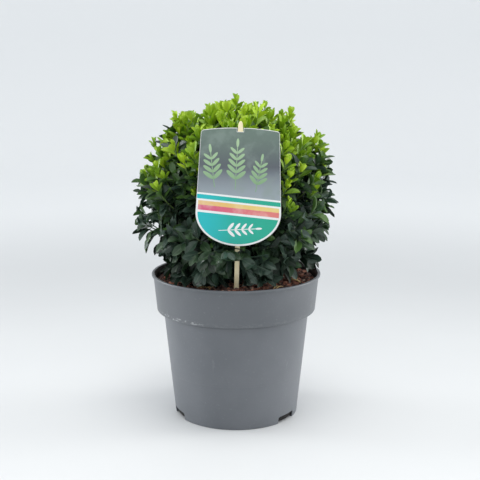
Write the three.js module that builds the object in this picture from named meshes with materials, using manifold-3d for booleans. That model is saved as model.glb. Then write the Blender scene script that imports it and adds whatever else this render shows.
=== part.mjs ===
// A clipped ball of evergreen euonymus in a stepped nursery pot, with its plant label on a wooden splint.
// Millimetres, +Z up, the origin in the middle of the pot's flat underside, the label towards -Y.
import * as THREE from "three";
import { mergeVertices } from "three/addons/utils/BufferGeometryUtils.js";
import Module from "manifold-3d";

const wasm = await Module();
wasm.setup();

// The pot
const POT_HEIGHT = 162;
const RIM_RADIUS = 95;
const BASE_RADIUS = 69.9;
const BODY_TOP_RADIUS = 82.1;
const BODY_TOP_Z = 119.3;
const BAND_FOOT_RADIUS = 89.4;
const BAND_FOOT_Z = 120.5;
const BAND_TOP_RADIUS = 93.2;
const LIP_HEIGHT = 2.8;
const EDGE_ROUND = 0.9;
const WALL = 1.4;
const FLOOR = 1.6;
const DRAIN_SLOTS = 3;
const DRAIN_SLOT = { width: 28, height: 8, depth: 14, firstAngle: -36.6 };

// The potting mix
const SOIL_EDGE_Z = 153.5;
const SOIL_TOP_Z = 158;
const SOIL_FLAT_RADIUS = 14;
const SOIL_SHOULDER_RADIUS = 78;

// The clearance between neighbours that touch on the real plant
const CLEAR = 0.3;

// The crown: a squat round body of revolution, measured to the tips of its leaves
const CROWN_RADIUS = 113;
const CROWN_WAIST_Z = 238;
const CROWN_TOP_Z = 361;
const CROWN_FOOT_Z = 158;
const CROWN_TOP_FULLNESS = 2.4;
const CROWN_FOOT_FULLNESS = 3.2;
const CORE_SHARE = 0.8;

// All shoots spread from this point, where the boughs part
const FORK = new THREE.Vector3(-2, 0, 204);

// The masses of foliage: two rings of sectors and a cap, parted by elevation above the fork
const LOWER_TOP_ELEVATION = 17;
const UPPER_TOP_ELEVATION = 57;
const RING_MASSES = 5;
const RING_TURN = { lower: -90, upper: -54 };

// The limbs
const TRUNK = { footRadius: 8.5, radius: 5.4, tipRadius: 2.6, flareHeight: 9, tipZ: 243, lean: 3 };
const BOUGH = { footRadius: 2.9, tipRadius: 1.7, reach: 41 };
const STEM = { footRadius: 1.7, tipRadius: 1.2, length: { bough: 22, trunk: 44 } };

// The hollow round the trunk and boughs, as radius and height from its foot to its crown
const HOLLOW = [[0, 140], [40, 140], [46, 196], [45, 232], [34, 262], [0, 276]];

// The leafy shoots
const SHOOTS = 150;
const SHOOT_START = 0.68;
const SHOOT_TIP = { low: 0.78, high: 0.85 };
const SHOOT_RADIUS = { foot: 1.5, tip: 0.9 };
const SHOOT_JITTER = 6;
const LEAF = { length: 23.5, width: 12, thickness: 1.3, root: 0.3 };
const LEAF_PAIRS = [{ at: 0.5, spread: 58, size: 0.94 }, { at: 0.97, spread: 27, size: 1 }];
const LEAF_TURNS = [0, 28, -28, 56, -56];
const CELL_MARGIN = 1;
const CELL_GAP = 0.27;
const FAR = 300;
const SEED = 21;
const GOLDEN_ANGLE = Math.PI * (3 - Math.sqrt(5));

// The label: a card in front of a wooden splint that is pushed into the mix
const LABEL_FOOT = new THREE.Vector3(0.5, -72, 157.4);
const LABEL_LEAN = 6.9;
const LABEL_ROLL = 1.47;
const SPLINT = { width: 5, thickness: 1.8, length: 180, buried: 45, tip: 7 };
const CARD = {
  foot: 49.5, height: 124, thickness: 0.9, topWidth: 79, width: 88,
  bowl: 35, arch: 2.5, corner: 4, notchWidth: 6.4, notchDepth: 3.8,
};

// The air that twigs and leaves leave round the other pieces
const ROOM = { card: 2, cardFront: 60, splint: 1.2, pot: 1.2, rim: 8, limb: 0.6 };

// How finely round shapes are faceted, and the grid that their corners lie on
const ROUND = 40;
const CORE_ROUND = 20;
const GRID = 0.001;
const degrees = THREE.MathUtils.degToRad;

// The same numbers from the same seed, each from 0 to 1.
function seededRandom(seed) {
  let state = seed >>> 0;
  return () => {
    state = (state + 0x6d2b79f5) >>> 0;
    let t = Math.imul(state ^ (state >>> 15), state | 1);
    t ^= t + Math.imul(t ^ (t >>> 7), t | 61);
    return ((t ^ (t >>> 14)) >>> 0) / 4294967296;
  };
}

// A closed three.js geometry as a solid that can be joined and cut.
function solidOf(geometry) {
  const bare = geometry.clone();
  bare.deleteAttribute("normal");
  bare.deleteAttribute("uv");
  const merged = mergeVertices(bare, 1e-4);
  return new wasm.Manifold(new wasm.Mesh({
    numProp: 3,
    vertProperties: new Float32Array(merged.attributes.position.array),
    triVerts: new Uint32Array(merged.index.array),
  }));
}

// The solid's surface with its corners on a fine grid, and without the slivers that this closes up.
function geometryOf(solid) {
  const mesh = solid.getMesh();
  const corners = mesh.vertProperties.map((value) => Math.round(value / GRID) * GRID);
  const surface = mergeVertices(new THREE.BufferGeometry()
    .setAttribute("position", new THREE.BufferAttribute(new Float32Array(corners), 3))
    .setIndex(new THREE.BufferAttribute(new Uint32Array(mesh.triVerts), 1)), GRID / 10);
  const index = surface.index.array;
  const kept = [];
  for (let i = 0; i < index.length; i += 3) {
    const [a, b, c] = index.slice(i, i + 3);
    if (a !== b && b !== c && c !== a) kept.push(a, b, c);
  }
  return surface.setIndex(kept);
}

// The largest body of a solid: a scrap that touches nothing is dropped.
function largestBody(solid) {
  return solid.decompose().reduce((a, b) => (a.volume() > b.volume() ? a : b));
}

// A profile of [radius, height] pairs turned about the Z axis.
function turned(profile, rounds = ROUND) {
  const points = profile.map(([radius, z]) => new THREE.Vector2(radius, z));
  return new THREE.LatheGeometry(points, rounds).rotateX(Math.PI / 2);
}

// A tapering round limb along a curve, with flat ends: a cylinder whose rings are carried onto the curve.
function limb(curve, radiusAt, sides, rings) {
  const tube = new THREE.CylinderGeometry(1, 1, 1, sides, rings);
  const frames = curve.computeFrenetFrames(rings, false);
  const place = tube.attributes.position;
  const point = new THREE.Vector3();
  for (let i = 0; i < place.count; i++) {
    const t = place.getY(i) + 0.5;
    const ring = Math.round(t * rings);
    curve.getPointAt(ring / rings, point);
    point.addScaledVector(frames.normals[ring], -place.getX(i) * radiusAt(t));
    point.addScaledVector(frames.binormals[ring], place.getZ(i) * radiusAt(t));
    place.setXYZ(i, point.x, point.y, point.z);
  }
  return tube;
}

// Points down the crown's outline, from its top to its foot, as [radius, height].
// It is fuller than a ball below its waist and a little fuller above it.
function crownOutline(steps) {
  return Array.from({ length: steps + 1 }, (_, i) => {
    const upper = i / steps < 0.5;
    const fullness = upper ? CROWN_TOP_FULLNESS : CROWN_FOOT_FULLNESS;
    const end = upper ? CROWN_TOP_Z : CROWN_FOOT_Z;
    const turn = (Math.PI * i) / steps;
    const radius = CROWN_RADIUS * Math.abs(Math.sin(turn)) ** (2 / fullness);
    const rise = Math.abs(Math.cos(turn)) ** (2 / fullness);
    return [i % steps === 0 ? 0 : radius, THREE.MathUtils.lerp(CROWN_WAIST_Z, end, rise)];
  });
}

// Places spread evenly over the crown's outline, a golden angle apart.
function crownPlaces(count) {
  const outline = crownOutline(200);
  const areas = [0];
  for (let i = 1; i < outline.length; i++) {
    const [r0, z0] = outline[i - 1];
    const [r1, z1] = outline[i];
    areas.push(areas[i - 1] + (r0 + r1) * Math.hypot(r1 - r0, z1 - z0));
  }
  return Array.from({ length: count }, (_, n) => {
    const area = ((n + 0.5) / count) * areas[areas.length - 1];
    const i = areas.findIndex((a) => a >= area);
    const share = (area - areas[i - 1]) / (areas[i] - areas[i - 1]);
    const radius = THREE.MathUtils.lerp(outline[i - 1][0], outline[i][0], share);
    const z = THREE.MathUtils.lerp(outline[i - 1][1], outline[i][1], share);
    const angle = n * GOLDEN_ANGLE;
    return new THREE.Vector3(FORK.x + radius * Math.cos(angle), radius * Math.sin(angle), z);
  });
}

// The masses, each with its range of elevation about the fork and its range of azimuth, in degrees.
function massCells() {
  const cells = [];
  const ring = (label, low, high, turn) => {
    for (let i = 0; i < RING_MASSES; i++) {
      const width = 360 / RING_MASSES;
      cells.push({ name: `${label}_foliage_${i + 1}`, low, high, middle: turn + i * width, half: width / 2 });
    }
  };
  ring("lower", -90, LOWER_TOP_ELEVATION, RING_TURN.lower);
  ring("upper", LOWER_TOP_ELEVATION, UPPER_TOP_ELEVATION, RING_TURN.upper);
  cells.push({ name: "top_foliage", low: UPPER_TOP_ELEVATION, high: 90, middle: 0, half: 180 });
  return cells;
}

// How far a point is inside a mass's cell, in millimetres.
function depthInCell(cell, point) {
  const from = point.clone().sub(FORK);
  const across = Math.hypot(from.x, from.y);
  const elevation = Math.atan2(from.z, across);
  const reach = from.length();
  let depth = reach;
  if (cell.low > -90) depth = Math.min(depth, reach * Math.sin(elevation - degrees(cell.low)));
  if (cell.high < 90) depth = Math.min(depth, reach * Math.sin(degrees(cell.high) - elevation));
  if (cell.half < 180) {
    const turn = Math.atan2(from.y, from.x) - degrees(cell.middle);
    const off = Math.abs(Math.atan2(Math.sin(turn), Math.cos(turn)));
    depth = Math.min(depth, across * Math.sin(Math.min(Math.PI / 2, Math.max(-Math.PI / 2, degrees(cell.half) - off))));
  }
  return depth;
}

// The label's own upright frame: x across, y towards the plant, z up from its foot.
const labelFrame = new THREE.Matrix4()
  .makeTranslation(LABEL_FOOT)
  .multiply(new THREE.Matrix4().makeRotationX(degrees(LABEL_LEAN)))
  .multiply(new THREE.Matrix4().makeRotationY(degrees(LABEL_ROLL)));

function soilHeight(radius) {
  const share = THREE.MathUtils.clamp((radius - SOIL_FLAT_RADIUS) / (RIM_RADIUS - WALL - SOIL_FLAT_RADIUS), 0, 1);
  return THREE.MathUtils.lerp(SOIL_TOP_Z, SOIL_EDGE_Z, share * share);
}

// The outer face from the foot up: a plain body, a nearly level ledge, a deep band over it and a narrow lip.
function potOutside() {
  const lipFoot = POT_HEIGHT - LIP_HEIGHT;
  return [
    [BASE_RADIUS - EDGE_ROUND, 0],
    [BASE_RADIUS, EDGE_ROUND],
    [BODY_TOP_RADIUS, BODY_TOP_Z],
    [BAND_FOOT_RADIUS - EDGE_ROUND, BAND_FOOT_Z],
    [BAND_FOOT_RADIUS, BAND_FOOT_Z + EDGE_ROUND],
    [BAND_TOP_RADIUS, lipFoot],
    [RIM_RADIUS, lipFoot + EDGE_ROUND],
    [RIM_RADIUS, POT_HEIGHT - EDGE_ROUND],
    [RIM_RADIUS - EDGE_ROUND, POT_HEIGHT],
  ];
}

// The inner face of the wall, from the rim down to the floor.
function potInside() {
  return [
    [BAND_TOP_RADIUS - WALL, POT_HEIGHT],
    [BAND_FOOT_RADIUS - WALL, BAND_FOOT_Z + WALL],
    [BODY_TOP_RADIUS - WALL, BODY_TOP_Z + WALL],
    [BASE_RADIUS - WALL, FLOOR],
  ];
}

// The thin-walled pot, with a slot at its foot for each drain.
function makePot() {
  let pot = solidOf(turned([[0, 0], ...potOutside(), ...potInside(), [0, FLOOR]]));
  for (let i = 0; i < DRAIN_SLOTS; i++) {
    const slot = new THREE.BoxGeometry(DRAIN_SLOT.depth, DRAIN_SLOT.width, 2 * DRAIN_SLOT.height)
      .translate(BASE_RADIUS + 2 - DRAIN_SLOT.depth / 2, 0, 0)
      .rotateZ(degrees(DRAIN_SLOT.firstAngle + (i * 360) / DRAIN_SLOTS));
    pot = pot.subtract(solidOf(slot));
  }
  return geometryOf(pot);
}

// The radius of the pot's inner face at a height.
function innerRadius(z) {
  const inside = potInside();
  const i = inside.findIndex(([, height]) => height <= z);
  const [r0, z0] = inside[i - 1];
  const [r1, z1] = inside[i];
  return THREE.MathUtils.lerp(r0, r1, (z - z0) / (z1 - z0));
}

// The mix fills the pot up to a low mound, with a socket for the splint.
function makeSoil() {
  const gap = CLEAR + 0.2;
  const wall = potInside().slice(1).reverse().map(([radius, z]) => [radius - gap, z + CLEAR]);
  wall.push([innerRadius(SOIL_EDGE_Z) - gap, SOIL_EDGE_Z]);
  const mound = [SOIL_SHOULDER_RADIUS, 50, SOIL_FLAT_RADIUS].map((radius) => [radius, soilHeight(radius)]);
  const body = solidOf(turned([[0, FLOOR + CLEAR], ...wall, ...mound, [0, SOIL_TOP_Z]]));
  const socket = new THREE.BoxGeometry(
    SPLINT.width + 2 * CLEAR, SPLINT.thickness + 2 * CLEAR, SPLINT.buried + 20,
  ).translate(0, splintMiddle(), 10 - SPLINT.buried / 2 - CLEAR / 2).applyMatrix4(labelFrame);
  return geometryOf(body.subtract(solidOf(socket)));
}

// How far the splint's middle lies behind the card's front face.
function splintMiddle() {
  return CARD.thickness + CLEAR + SPLINT.thickness / 2;
}

// The flat splint, cut to a blunt point at its top.
function makeSplint() {
  const half = SPLINT.width / 2;
  const outline = new THREE.Shape();
  outline.moveTo(-half, -SPLINT.buried);
  outline.lineTo(half, -SPLINT.buried);
  outline.lineTo(half, SPLINT.length - SPLINT.tip);
  outline.quadraticCurveTo(half * 0.9, SPLINT.length, 0, SPLINT.length);
  outline.quadraticCurveTo(-half * 0.9, SPLINT.length, -half, SPLINT.length - SPLINT.tip);
  outline.closePath();
  return new THREE.ExtrudeGeometry(outline, { depth: SPLINT.thickness, bevelEnabled: false, curveSegments: 4 })
    .rotateX(Math.PI / 2)
    .translate(0, splintMiddle() + SPLINT.thickness / 2, 0)
    .applyMatrix4(labelFrame);
}

// The card: straight sides that widen downwards, a rounded foot, and a notch where the splint shows.
function makeCard() {
  const top = CARD.foot + CARD.height;
  const shoulder = top - CARD.arch;
  const bowl = CARD.foot + CARD.bowl;
  const sideX = CARD.topWidth / 2;
  const half = CARD.width / 2;
  const notch = CARD.notchWidth / 2;
  const outline = new THREE.Shape();
  outline.moveTo(half, bowl);
  outline.lineTo(sideX, shoulder - CARD.corner);
  outline.quadraticCurveTo(sideX, shoulder, sideX - CARD.corner, shoulder);
  outline.quadraticCurveTo(sideX / 2, top, notch, top);
  outline.lineTo(notch, top - CARD.notchDepth);
  outline.lineTo(-notch, top - CARD.notchDepth);
  outline.lineTo(-notch, top);
  outline.quadraticCurveTo(-sideX / 2, top, CARD.corner - sideX, shoulder);
  outline.quadraticCurveTo(-sideX, shoulder, -sideX, shoulder - CARD.corner);
  outline.lineTo(-half, bowl);
  outline.absellipse(0, bowl, half, CARD.bowl, Math.PI, 2 * Math.PI, false, 0);
  return new THREE.ExtrudeGeometry(outline, { depth: CARD.thickness, bevelEnabled: false, curveSegments: 10 })
    .rotateX(Math.PI / 2)
    .translate(0, CARD.thickness, 0)
    .applyMatrix4(labelFrame);
}

// The short main stem, flared at its foot, leaning a little.
const trunkCurve = new THREE.CatmullRomCurve3([
  new THREE.Vector3(0, 0, SOIL_TOP_Z + CLEAR),
  new THREE.Vector3(0.4, 0.2, SOIL_TOP_Z + 18),
  new THREE.Vector3(-TRUNK.lean / 2, 0.8, FORK.z + 4),
  new THREE.Vector3(-TRUNK.lean, 1.2, TRUNK.tipZ),
]);

function trunkRadius(t) {
  const flare = Math.max(0, 1 - (t * (TRUNK.tipZ - SOIL_TOP_Z)) / TRUNK.flareHeight);
  return THREE.MathUtils.lerp(TRUNK.radius, TRUNK.tipRadius, t) + (TRUNK.footRadius - TRUNK.radius) * flare ** 2;
}

function makeTrunk(room = 0) {
  return limb(trunkCurve, (t) => trunkRadius(t) + room, 10, 12);
}

// The way a mass grows from the fork.
function massDirection(cell) {
  const elevation = degrees(cell.low < -80 ? -2 : (cell.low + cell.high) / 2 - 4);
  const azimuth = degrees(cell.middle);
  return new THREE.Vector3(
    Math.cos(elevation) * Math.cos(azimuth), Math.cos(elevation) * Math.sin(azimuth), Math.sin(elevation),
  );
}

// A bough leaves the trunk nearly level, a little higher than the one before, and bends to its mass.
function boughCurve(cell, order) {
  const upper = cell.low > -90;
  const t = upper ? 0.46 + 0.035 * order : 0.16 + 0.035 * order;
  const start = trunkCurve.getPointAt(t);
  const direction = massDirection(cell);
  const out = new THREE.Vector3(direction.x, direction.y, 0).normalize();
  start.addScaledVector(out, trunkRadius(t) + CLEAR + 0.1);
  const tip = FORK.clone().addScaledVector(direction, BOUGH.reach);
  const elbow = start.clone().addScaledVector(out, 0.3 * BOUGH.reach);
  const neck = tip.clone().addScaledVector(direction, -0.45 * BOUGH.reach);
  return new THREE.CubicBezierCurve3(start, elbow, neck, tip);
}

function makeBough(curve, room = 0) {
  return limb(curve, (t) => THREE.MathUtils.lerp(BOUGH.footRadius, BOUGH.tipRadius, t) + room, 7, 6);
}

// The stem that carries straight on from a limb's tip into the middle of its mass.
function stemCurve(carrier, length) {
  const tip = carrier.getPointAt(1);
  const tangent = carrier.getTangentAt(1);
  const start = tip.clone().addScaledVector(tangent, CLEAR);
  return new THREE.LineCurve3(start, start.clone().addScaledVector(tangent, length));
}

// A shape made about the Z axis, moved to the crown's own axis.
function aboutFork(geometry) {
  return geometry.translate(FORK.x, FORK.y, 0);
}

// A mass's cell as a solid, drawn in a little from its neighbours: a turned band cut by a wedge.
function cellSolid(cell) {
  const edge = (elevation) => [FAR * Math.cos(degrees(elevation)), FORK.z + FAR * Math.sin(degrees(elevation))];
  const below = cell.low > -90 ? [[0, FORK.z], edge(cell.low + CELL_GAP)] : [[0, -FAR], [FAR, -FAR]];
  const above = cell.high < 90 ? [edge(cell.high - CELL_GAP), [0, FORK.z]] : [[0, FORK.z + FAR]];
  const band = solidOf(aboutFork(turned([...below, ...above], CORE_ROUND)));
  if (cell.half === 180) return band;
  const spread = FAR * Math.tan(degrees(cell.half - CELL_GAP));
  const outline = new THREE.Shape([[0, 0], [FAR, -spread], [FAR, spread]].map(([x, y]) => new THREE.Vector2(x, y)));
  const wedge = new THREE.ExtrudeGeometry(outline, { depth: 2 * FAR, bevelEnabled: false })
    .translate(0, 0, -FAR)
    .rotateZ(degrees(cell.middle));
  return band.intersect(solidOf(aboutFork(wedge)));
}

// The block that fills a mass: the crown drawn in towards the fork, cut to the mass's cell, hollow round the limbs.
function makeCore(cell) {
  const shrunk = crownOutline(10).map(([radius, z]) => [radius * CORE_SHARE, THREE.MathUtils.lerp(FORK.z, z, CORE_SHARE)]);
  const crown = solidOf(aboutFork(turned(shrunk.reverse(), CORE_ROUND)));
  const hollow = solidOf(aboutFork(turned(HOLLOW, CORE_ROUND)));
  const front = new THREE.BoxGeometry(CARD.width + 4 * ROOM.card, ROOM.cardFront, 3 * SPLINT.length)
    .translate(0, 4 * ROOM.card - ROOM.cardFront / 2, 0)
    .applyMatrix4(labelFrame);
  return crown.subtract(hollow).intersect(cellSolid(cell)).subtract(solidOf(front));
}

// One leaf: a pointed blade of eight faces, widest past its middle, folded a little along its rib.
function makeLeaf(foot, along, flat, size) {
  const across = new THREE.Vector3().crossVectors(flat, along).normalize();
  const up = new THREE.Vector3().crossVectors(along, across).normalize();
  const length = LEAF.length * size;
  const blade = new THREE.OctahedronGeometry(1);
  const place = blade.attributes.position;
  const corner = new THREE.Vector3();
  for (let i = 0; i < place.count; i++) {
    const [x, y, z] = [place.getX(i), place.getY(i), place.getZ(i)];
    const reach = x !== 0 ? (x > 0 ? length : LEAF.root) : 0.56 * length;
    corner.copy(foot).addScaledVector(along, reach);
    corner.addScaledVector(across, (y * LEAF.width * size) / 2);
    corner.addScaledVector(up, (z * LEAF.thickness) / 2 + Math.abs(y) * 0.9);
    place.setXYZ(i, corner.x, corner.y, corner.z);
  }
  return blade;
}

function crossesAny(solid, others) {
  return others.some((other) => !solid.intersect(other).isEmpty());
}

// The space that the label takes, with all the air before its card.
function labelRoom() {
  const card = new THREE.BoxGeometry(
    CARD.width + 2 * ROOM.card, ROOM.cardFront + CARD.thickness + ROOM.card, CARD.height + 2 * ROOM.card,
  ).translate(0, (CARD.thickness + ROOM.card - ROOM.cardFront) / 2, CARD.foot + CARD.height / 2);
  const splint = new THREE.BoxGeometry(
    SPLINT.width + 2 * ROOM.splint, SPLINT.thickness + 2 * ROOM.splint, 2 * SPLINT.length,
  ).translate(0, splintMiddle(), 0);
  return [card, splint].map((room) => solidOf(room.applyMatrix4(labelFrame)));
}

// The space that the pot and its mix take.
function potRoom() {
  const outer = RIM_RADIUS + ROOM.pot;
  const inner = RIM_RADIUS - ROOM.rim;
  const mound = [inner, SOIL_FLAT_RADIUS, 0].map((radius) => [radius, soilHeight(radius) + ROOM.pot]);
  return solidOf(turned([[0, 0], [outer, 0], [outer, POT_HEIGHT + ROOM.pot], [inner, POT_HEIGHT + ROOM.pot], ...mound]));
}

function inCell(cell, geometry) {
  const place = geometry.attributes.position;
  const corner = new THREE.Vector3();
  for (let i = 0; i < place.count; i++) {
    corner.fromBufferAttribute(place, i);
    if (depthInCell(cell, corner) < CELL_MARGIN) return false;
  }
  return true;
}

// A shoot towards a place on the crown's outline, with its pairs of leaves, each pair square to the last.
// A leaf that would leave the cell or cross another is turned about the shoot, and left out if that doesn't help.
function makeShoot(cell, place, random, taken) {
  const jitter = new THREE.Vector3(random() - 0.5, random() - 0.5, random() - 0.5).multiplyScalar(SHOOT_JITTER);
  const ray = place.clone().add(jitter).sub(FORK);
  const tipShare = THREE.MathUtils.lerp(SHOOT_TIP.low, SHOOT_TIP.high, random());
  const start = FORK.clone().addScaledVector(ray, SHOOT_START);
  const tip = FORK.clone().addScaledVector(ray, tipShare);
  const curve = new THREE.LineCurve3(start, tip);
  const geometry = limb(curve, (t) => THREE.MathUtils.lerp(SHOOT_RADIUS.foot, SHOOT_RADIUS.tip, t), 3, 1);
  const twig = solidOf(geometry);
  const turn = random() * Math.PI;
  if (!inCell(cell, geometry) || crossesAny(twig, taken)) return [];
  const axis = ray.clone().normalize();
  const side = new THREE.Vector3(0, 0, 1).cross(axis).normalize();
  const made = [];
  LEAF_PAIRS.forEach((pair, order) => {
    for (const half of [0, 1]) {
      const foot = start.clone().lerp(tip, pair.at);
      const spread = degrees(pair.spread * (0.85 + 0.3 * random()));
      const size = pair.size * (0.88 + 0.24 * random());
      for (const shift of LEAF_TURNS) {
        const angle = turn + order * (Math.PI / 2) + half * Math.PI + degrees(shift);
        const outward = side.clone().applyAxisAngle(axis, angle);
        const along = axis.clone().multiplyScalar(Math.cos(spread)).addScaledVector(outward, Math.sin(spread));
        const leaf = makeLeaf(foot, along, axis, size);
        const blade = solidOf(leaf);
        if (inCell(cell, leaf) && !crossesAny(blade, taken)) {
          made.push(blade);
          break;
        }
      }
    }
  });
  taken.push(...made);
  return [twig, ...made];
}

// A mass of foliage: its stem and core with the shoots of its cell fused on, clear of all that is reserved.
function makeMass(cell, stem, places, reserved, seed) {
  const random = seededRandom(seed);
  const stemLimb = limb(stem, (t) => THREE.MathUtils.lerp(STEM.footRadius, STEM.tipRadius, t), 6, 1);
  const parts = [makeCore(cell), solidOf(stemLimb)];
  const taken = [...reserved];
  for (const place of places) {
    if (depthInCell(cell, place) > 0) parts.push(...makeShoot(cell, place, random, taken));
  }
  return geometryOf(largestBody(wasm.Manifold.union(parts)));
}

const plant = new THREE.Group();

function addPiece(name, geometry, material) {
  const mesh = new THREE.Mesh(geometry, material);
  mesh.name = name;
  plant.add(mesh);
}

const greyPlastic = new THREE.MeshStandardMaterial({ color: 0x6f757b, roughness: 0.55, metalness: 0 });
const pottingMix = new THREE.MeshStandardMaterial({ color: 0x3b2a22, roughness: 1, metalness: 0 });
const bark = new THREE.MeshStandardMaterial({ color: 0x6d6248, roughness: 0.9, metalness: 0 });
const oldLeaf = new THREE.MeshStandardMaterial({ color: 0x2c3f2a, roughness: 0.4, metalness: 0 });
const youngLeaf = new THREE.MeshStandardMaterial({ color: 0x7ba22f, roughness: 0.45, metalness: 0 });
const splintWood = new THREE.MeshStandardMaterial({ color: 0xcdb98a, roughness: 0.8, metalness: 0 });
const printedCard = new THREE.MeshStandardMaterial({ color: 0x2fa08c, roughness: 0.3, metalness: 0 });

addPiece("pot", makePot(), greyPlastic);
addPiece("potting_mix", makeSoil(), pottingMix);
addPiece("trunk", geometryOf(solidOf(makeTrunk())), bark);
addPiece("label_splint", makeSplint(), splintWood);
addPiece("label_card", makeCard(), printedCard);

const cells = massCells();
const boughs = cells.slice(0, 2 * RING_MASSES).map((cell, index) => boughCurve(cell, index % RING_MASSES));
boughs.forEach((curve, index) => {
  addPiece(cells[index].name.replace("foliage", "bough"), makeBough(curve), bark);
});

const limbRooms = [makeTrunk(ROOM.limb), ...boughs.map((curve) => makeBough(curve, ROOM.limb))].map(solidOf);
const reserved = [potRoom(), ...labelRoom(), ...limbRooms];
const places = crownPlaces(SHOOTS);
cells.forEach((cell, index) => {
  const stem = index < boughs.length
    ? stemCurve(boughs[index], STEM.length.bough) : stemCurve(trunkCurve, STEM.length.trunk);
  const mass = makeMass(cell, stem, places, reserved, SEED + index);
  addPiece(cell.name, mass, cell.low < 0 ? oldLeaf : youngLeaf);
});

export default plant;
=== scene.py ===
# A clipped ball of evergreen euonymus in a stepped nursery pot, with its plant label on a wooden splint.
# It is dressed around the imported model. Sizes are in millimetres, as in the part's source, and the
# finished meshes in metres. +Z is up the plant, and the label faces -Y.
import math

import bmesh
import bpy
import numpy as np
from mathutils import Matrix, Vector, noise


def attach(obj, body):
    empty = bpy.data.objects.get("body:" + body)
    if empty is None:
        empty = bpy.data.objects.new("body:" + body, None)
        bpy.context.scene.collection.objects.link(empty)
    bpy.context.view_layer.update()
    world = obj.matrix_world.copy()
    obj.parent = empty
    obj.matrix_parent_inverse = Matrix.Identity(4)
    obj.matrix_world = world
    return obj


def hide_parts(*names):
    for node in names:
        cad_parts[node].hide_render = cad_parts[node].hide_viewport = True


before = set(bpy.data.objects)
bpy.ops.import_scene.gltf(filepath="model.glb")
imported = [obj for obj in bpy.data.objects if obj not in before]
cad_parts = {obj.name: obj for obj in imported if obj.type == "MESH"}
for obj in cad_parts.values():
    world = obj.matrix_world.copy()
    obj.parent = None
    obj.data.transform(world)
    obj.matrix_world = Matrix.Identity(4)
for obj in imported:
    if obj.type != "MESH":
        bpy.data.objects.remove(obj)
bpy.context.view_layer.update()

MM = 0.001
UP = Vector((0, 0, 1))
SHARP_ANGLE = math.radians(60)
SEED = 21

# The pot
POT_HEIGHT = 162
RIM_RADIUS = 95
BASE_RADIUS = 69.9
BODY_TOP_RADIUS = 82.1
BODY_TOP_Z = 119.3
BAND_FOOT_RADIUS = 89.4
BAND_FOOT_Z = 120.5
BAND_TOP_RADIUS = 93.2
LIP_HEIGHT = 2.8
EDGE_ROUND = 0.9
WALL = 1.4
FLOOR = 1.6
MOULD_LINE_Z = 50
MOULD_LINE = ((-1.2, 0), (-0.4, 0), (0, 0.12), (0.4, 0), (1.2, 0))
DRAIN_SLOTS = 3
DRAIN_SLOT = {"width": 28, "height": 8, "depth": 14, "corner": 2.5, "first_angle": -36.6}
POT_STEPS = 128

# The potting mix: a mound with lumps and crumbs, and a ridge inside the front of the rim
SOIL_EDGE_Z = 153.5
SOIL_TOP_Z = 158
SOIL_FLAT_RADIUS = 14
SOIL_LUMPS = 1.3
SOIL_CRUMBS = 0.7
CLEAR = 0.3
RIDGE = {"place": (-8, -80), "across": 36, "along": 8, "height": 4.5}

# The chips on the mix by kind: how many, how long, and their deep and light colours
CHIPS = {
    "dark": (1150, (3.5, 10), (0.05, 0.027, 0.022), (0.20, 0.10, 0.078)),
    "red": (850, (3.5, 11), (0.20, 0.072, 0.046), (0.56, 0.24, 0.155)),
    "pale": (240, (2, 6.5), (0.42, 0.30, 0.22), (0.74, 0.60, 0.48)),
}
CHIP_SHAPES = 4
CHIP_REACH = 92
CHIP_WIDTH = (0.4, 0.75)
CHIP_THICKNESS = (0.22, 0.4)
CHIP_TIP = 0.35
CHIP_LEAN = 0.3

# Large chips heaped before the splint, as places and lengths, and bits of straw
HEAPED_CHIPS = ((-5.5, -76, 8), (0.5, -77, 9), (6, -76.5, 7), (-1.5, -80, 8), (4.5, -80, 7))
STRAW = {"length": 17, "width": 1.6, "thickness": 0.5, "bow": 0.035, "taper": 0.004, "lift": 3.4}
STRAW_PLACES = ((65, -24), (65, -12), (-30, -66), (46, -60))

# The crown, measured to the tips of its leaves, and the point that all its shoots spread from
CROWN_RADIUS = 113
CROWN_WAIST_Z = 238
CROWN_TOP_Z = 361
CROWN_FOOT_Z = 158
CROWN_TOP_FULLNESS = 2.4
CROWN_FOOT_FULLNESS = 3.2
FORK = Vector((-2, 0, 204))

# The masses of foliage, parted by elevation above the fork into two rings and a cap
LOWER_TOP_ELEVATION = 17
UPPER_TOP_ELEVATION = 57
RING_MASSES = 5
RING_TURN = {"lower": -90, "upper": -54}
RINGS = [(ring, index) for ring in RING_TURN for index in range(RING_MASSES)]

# The limbs: the trunk with the places its middle line runs through, a bough for each mass of a ring,
# which leaves it at a share of its length, and the stem that goes on from each limb inside its mass
TRUNK = {"foot_radius": 8.5, "radius": 5.4, "tip_radius": 2.6, "flare_height": 9, "tip_z": 243}
TRUNK_COURSE = (
    (0, 0, SOIL_TOP_Z + CLEAR), (0.4, 0.2, SOIL_TOP_Z + 18),
    (-1.5, 0.8, FORK.z + 4), (-3, 1.2, TRUNK["tip_z"]),
)
BOUGH = {"foot_radius": 2.9, "tip_radius": 1.7, "reach": 41, "spacing": 0.035}
BOUGH_START = {"lower": 0.16, "upper": 0.46}
BOUGH_ELEVATION = {"lower": -2, "upper": 33}
STEM = {"tip_radius": 1.2, "bough_length": 22, "trunk_length": 44}
KNOT_RELIEF = 0.28

# The bark's ridges, then its cracks: how fine they are across and along, and their relief
BARK_RELIEF = ((2.6, 0.05, 0.16), (5.72, 0.22, 0.096))

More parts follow.
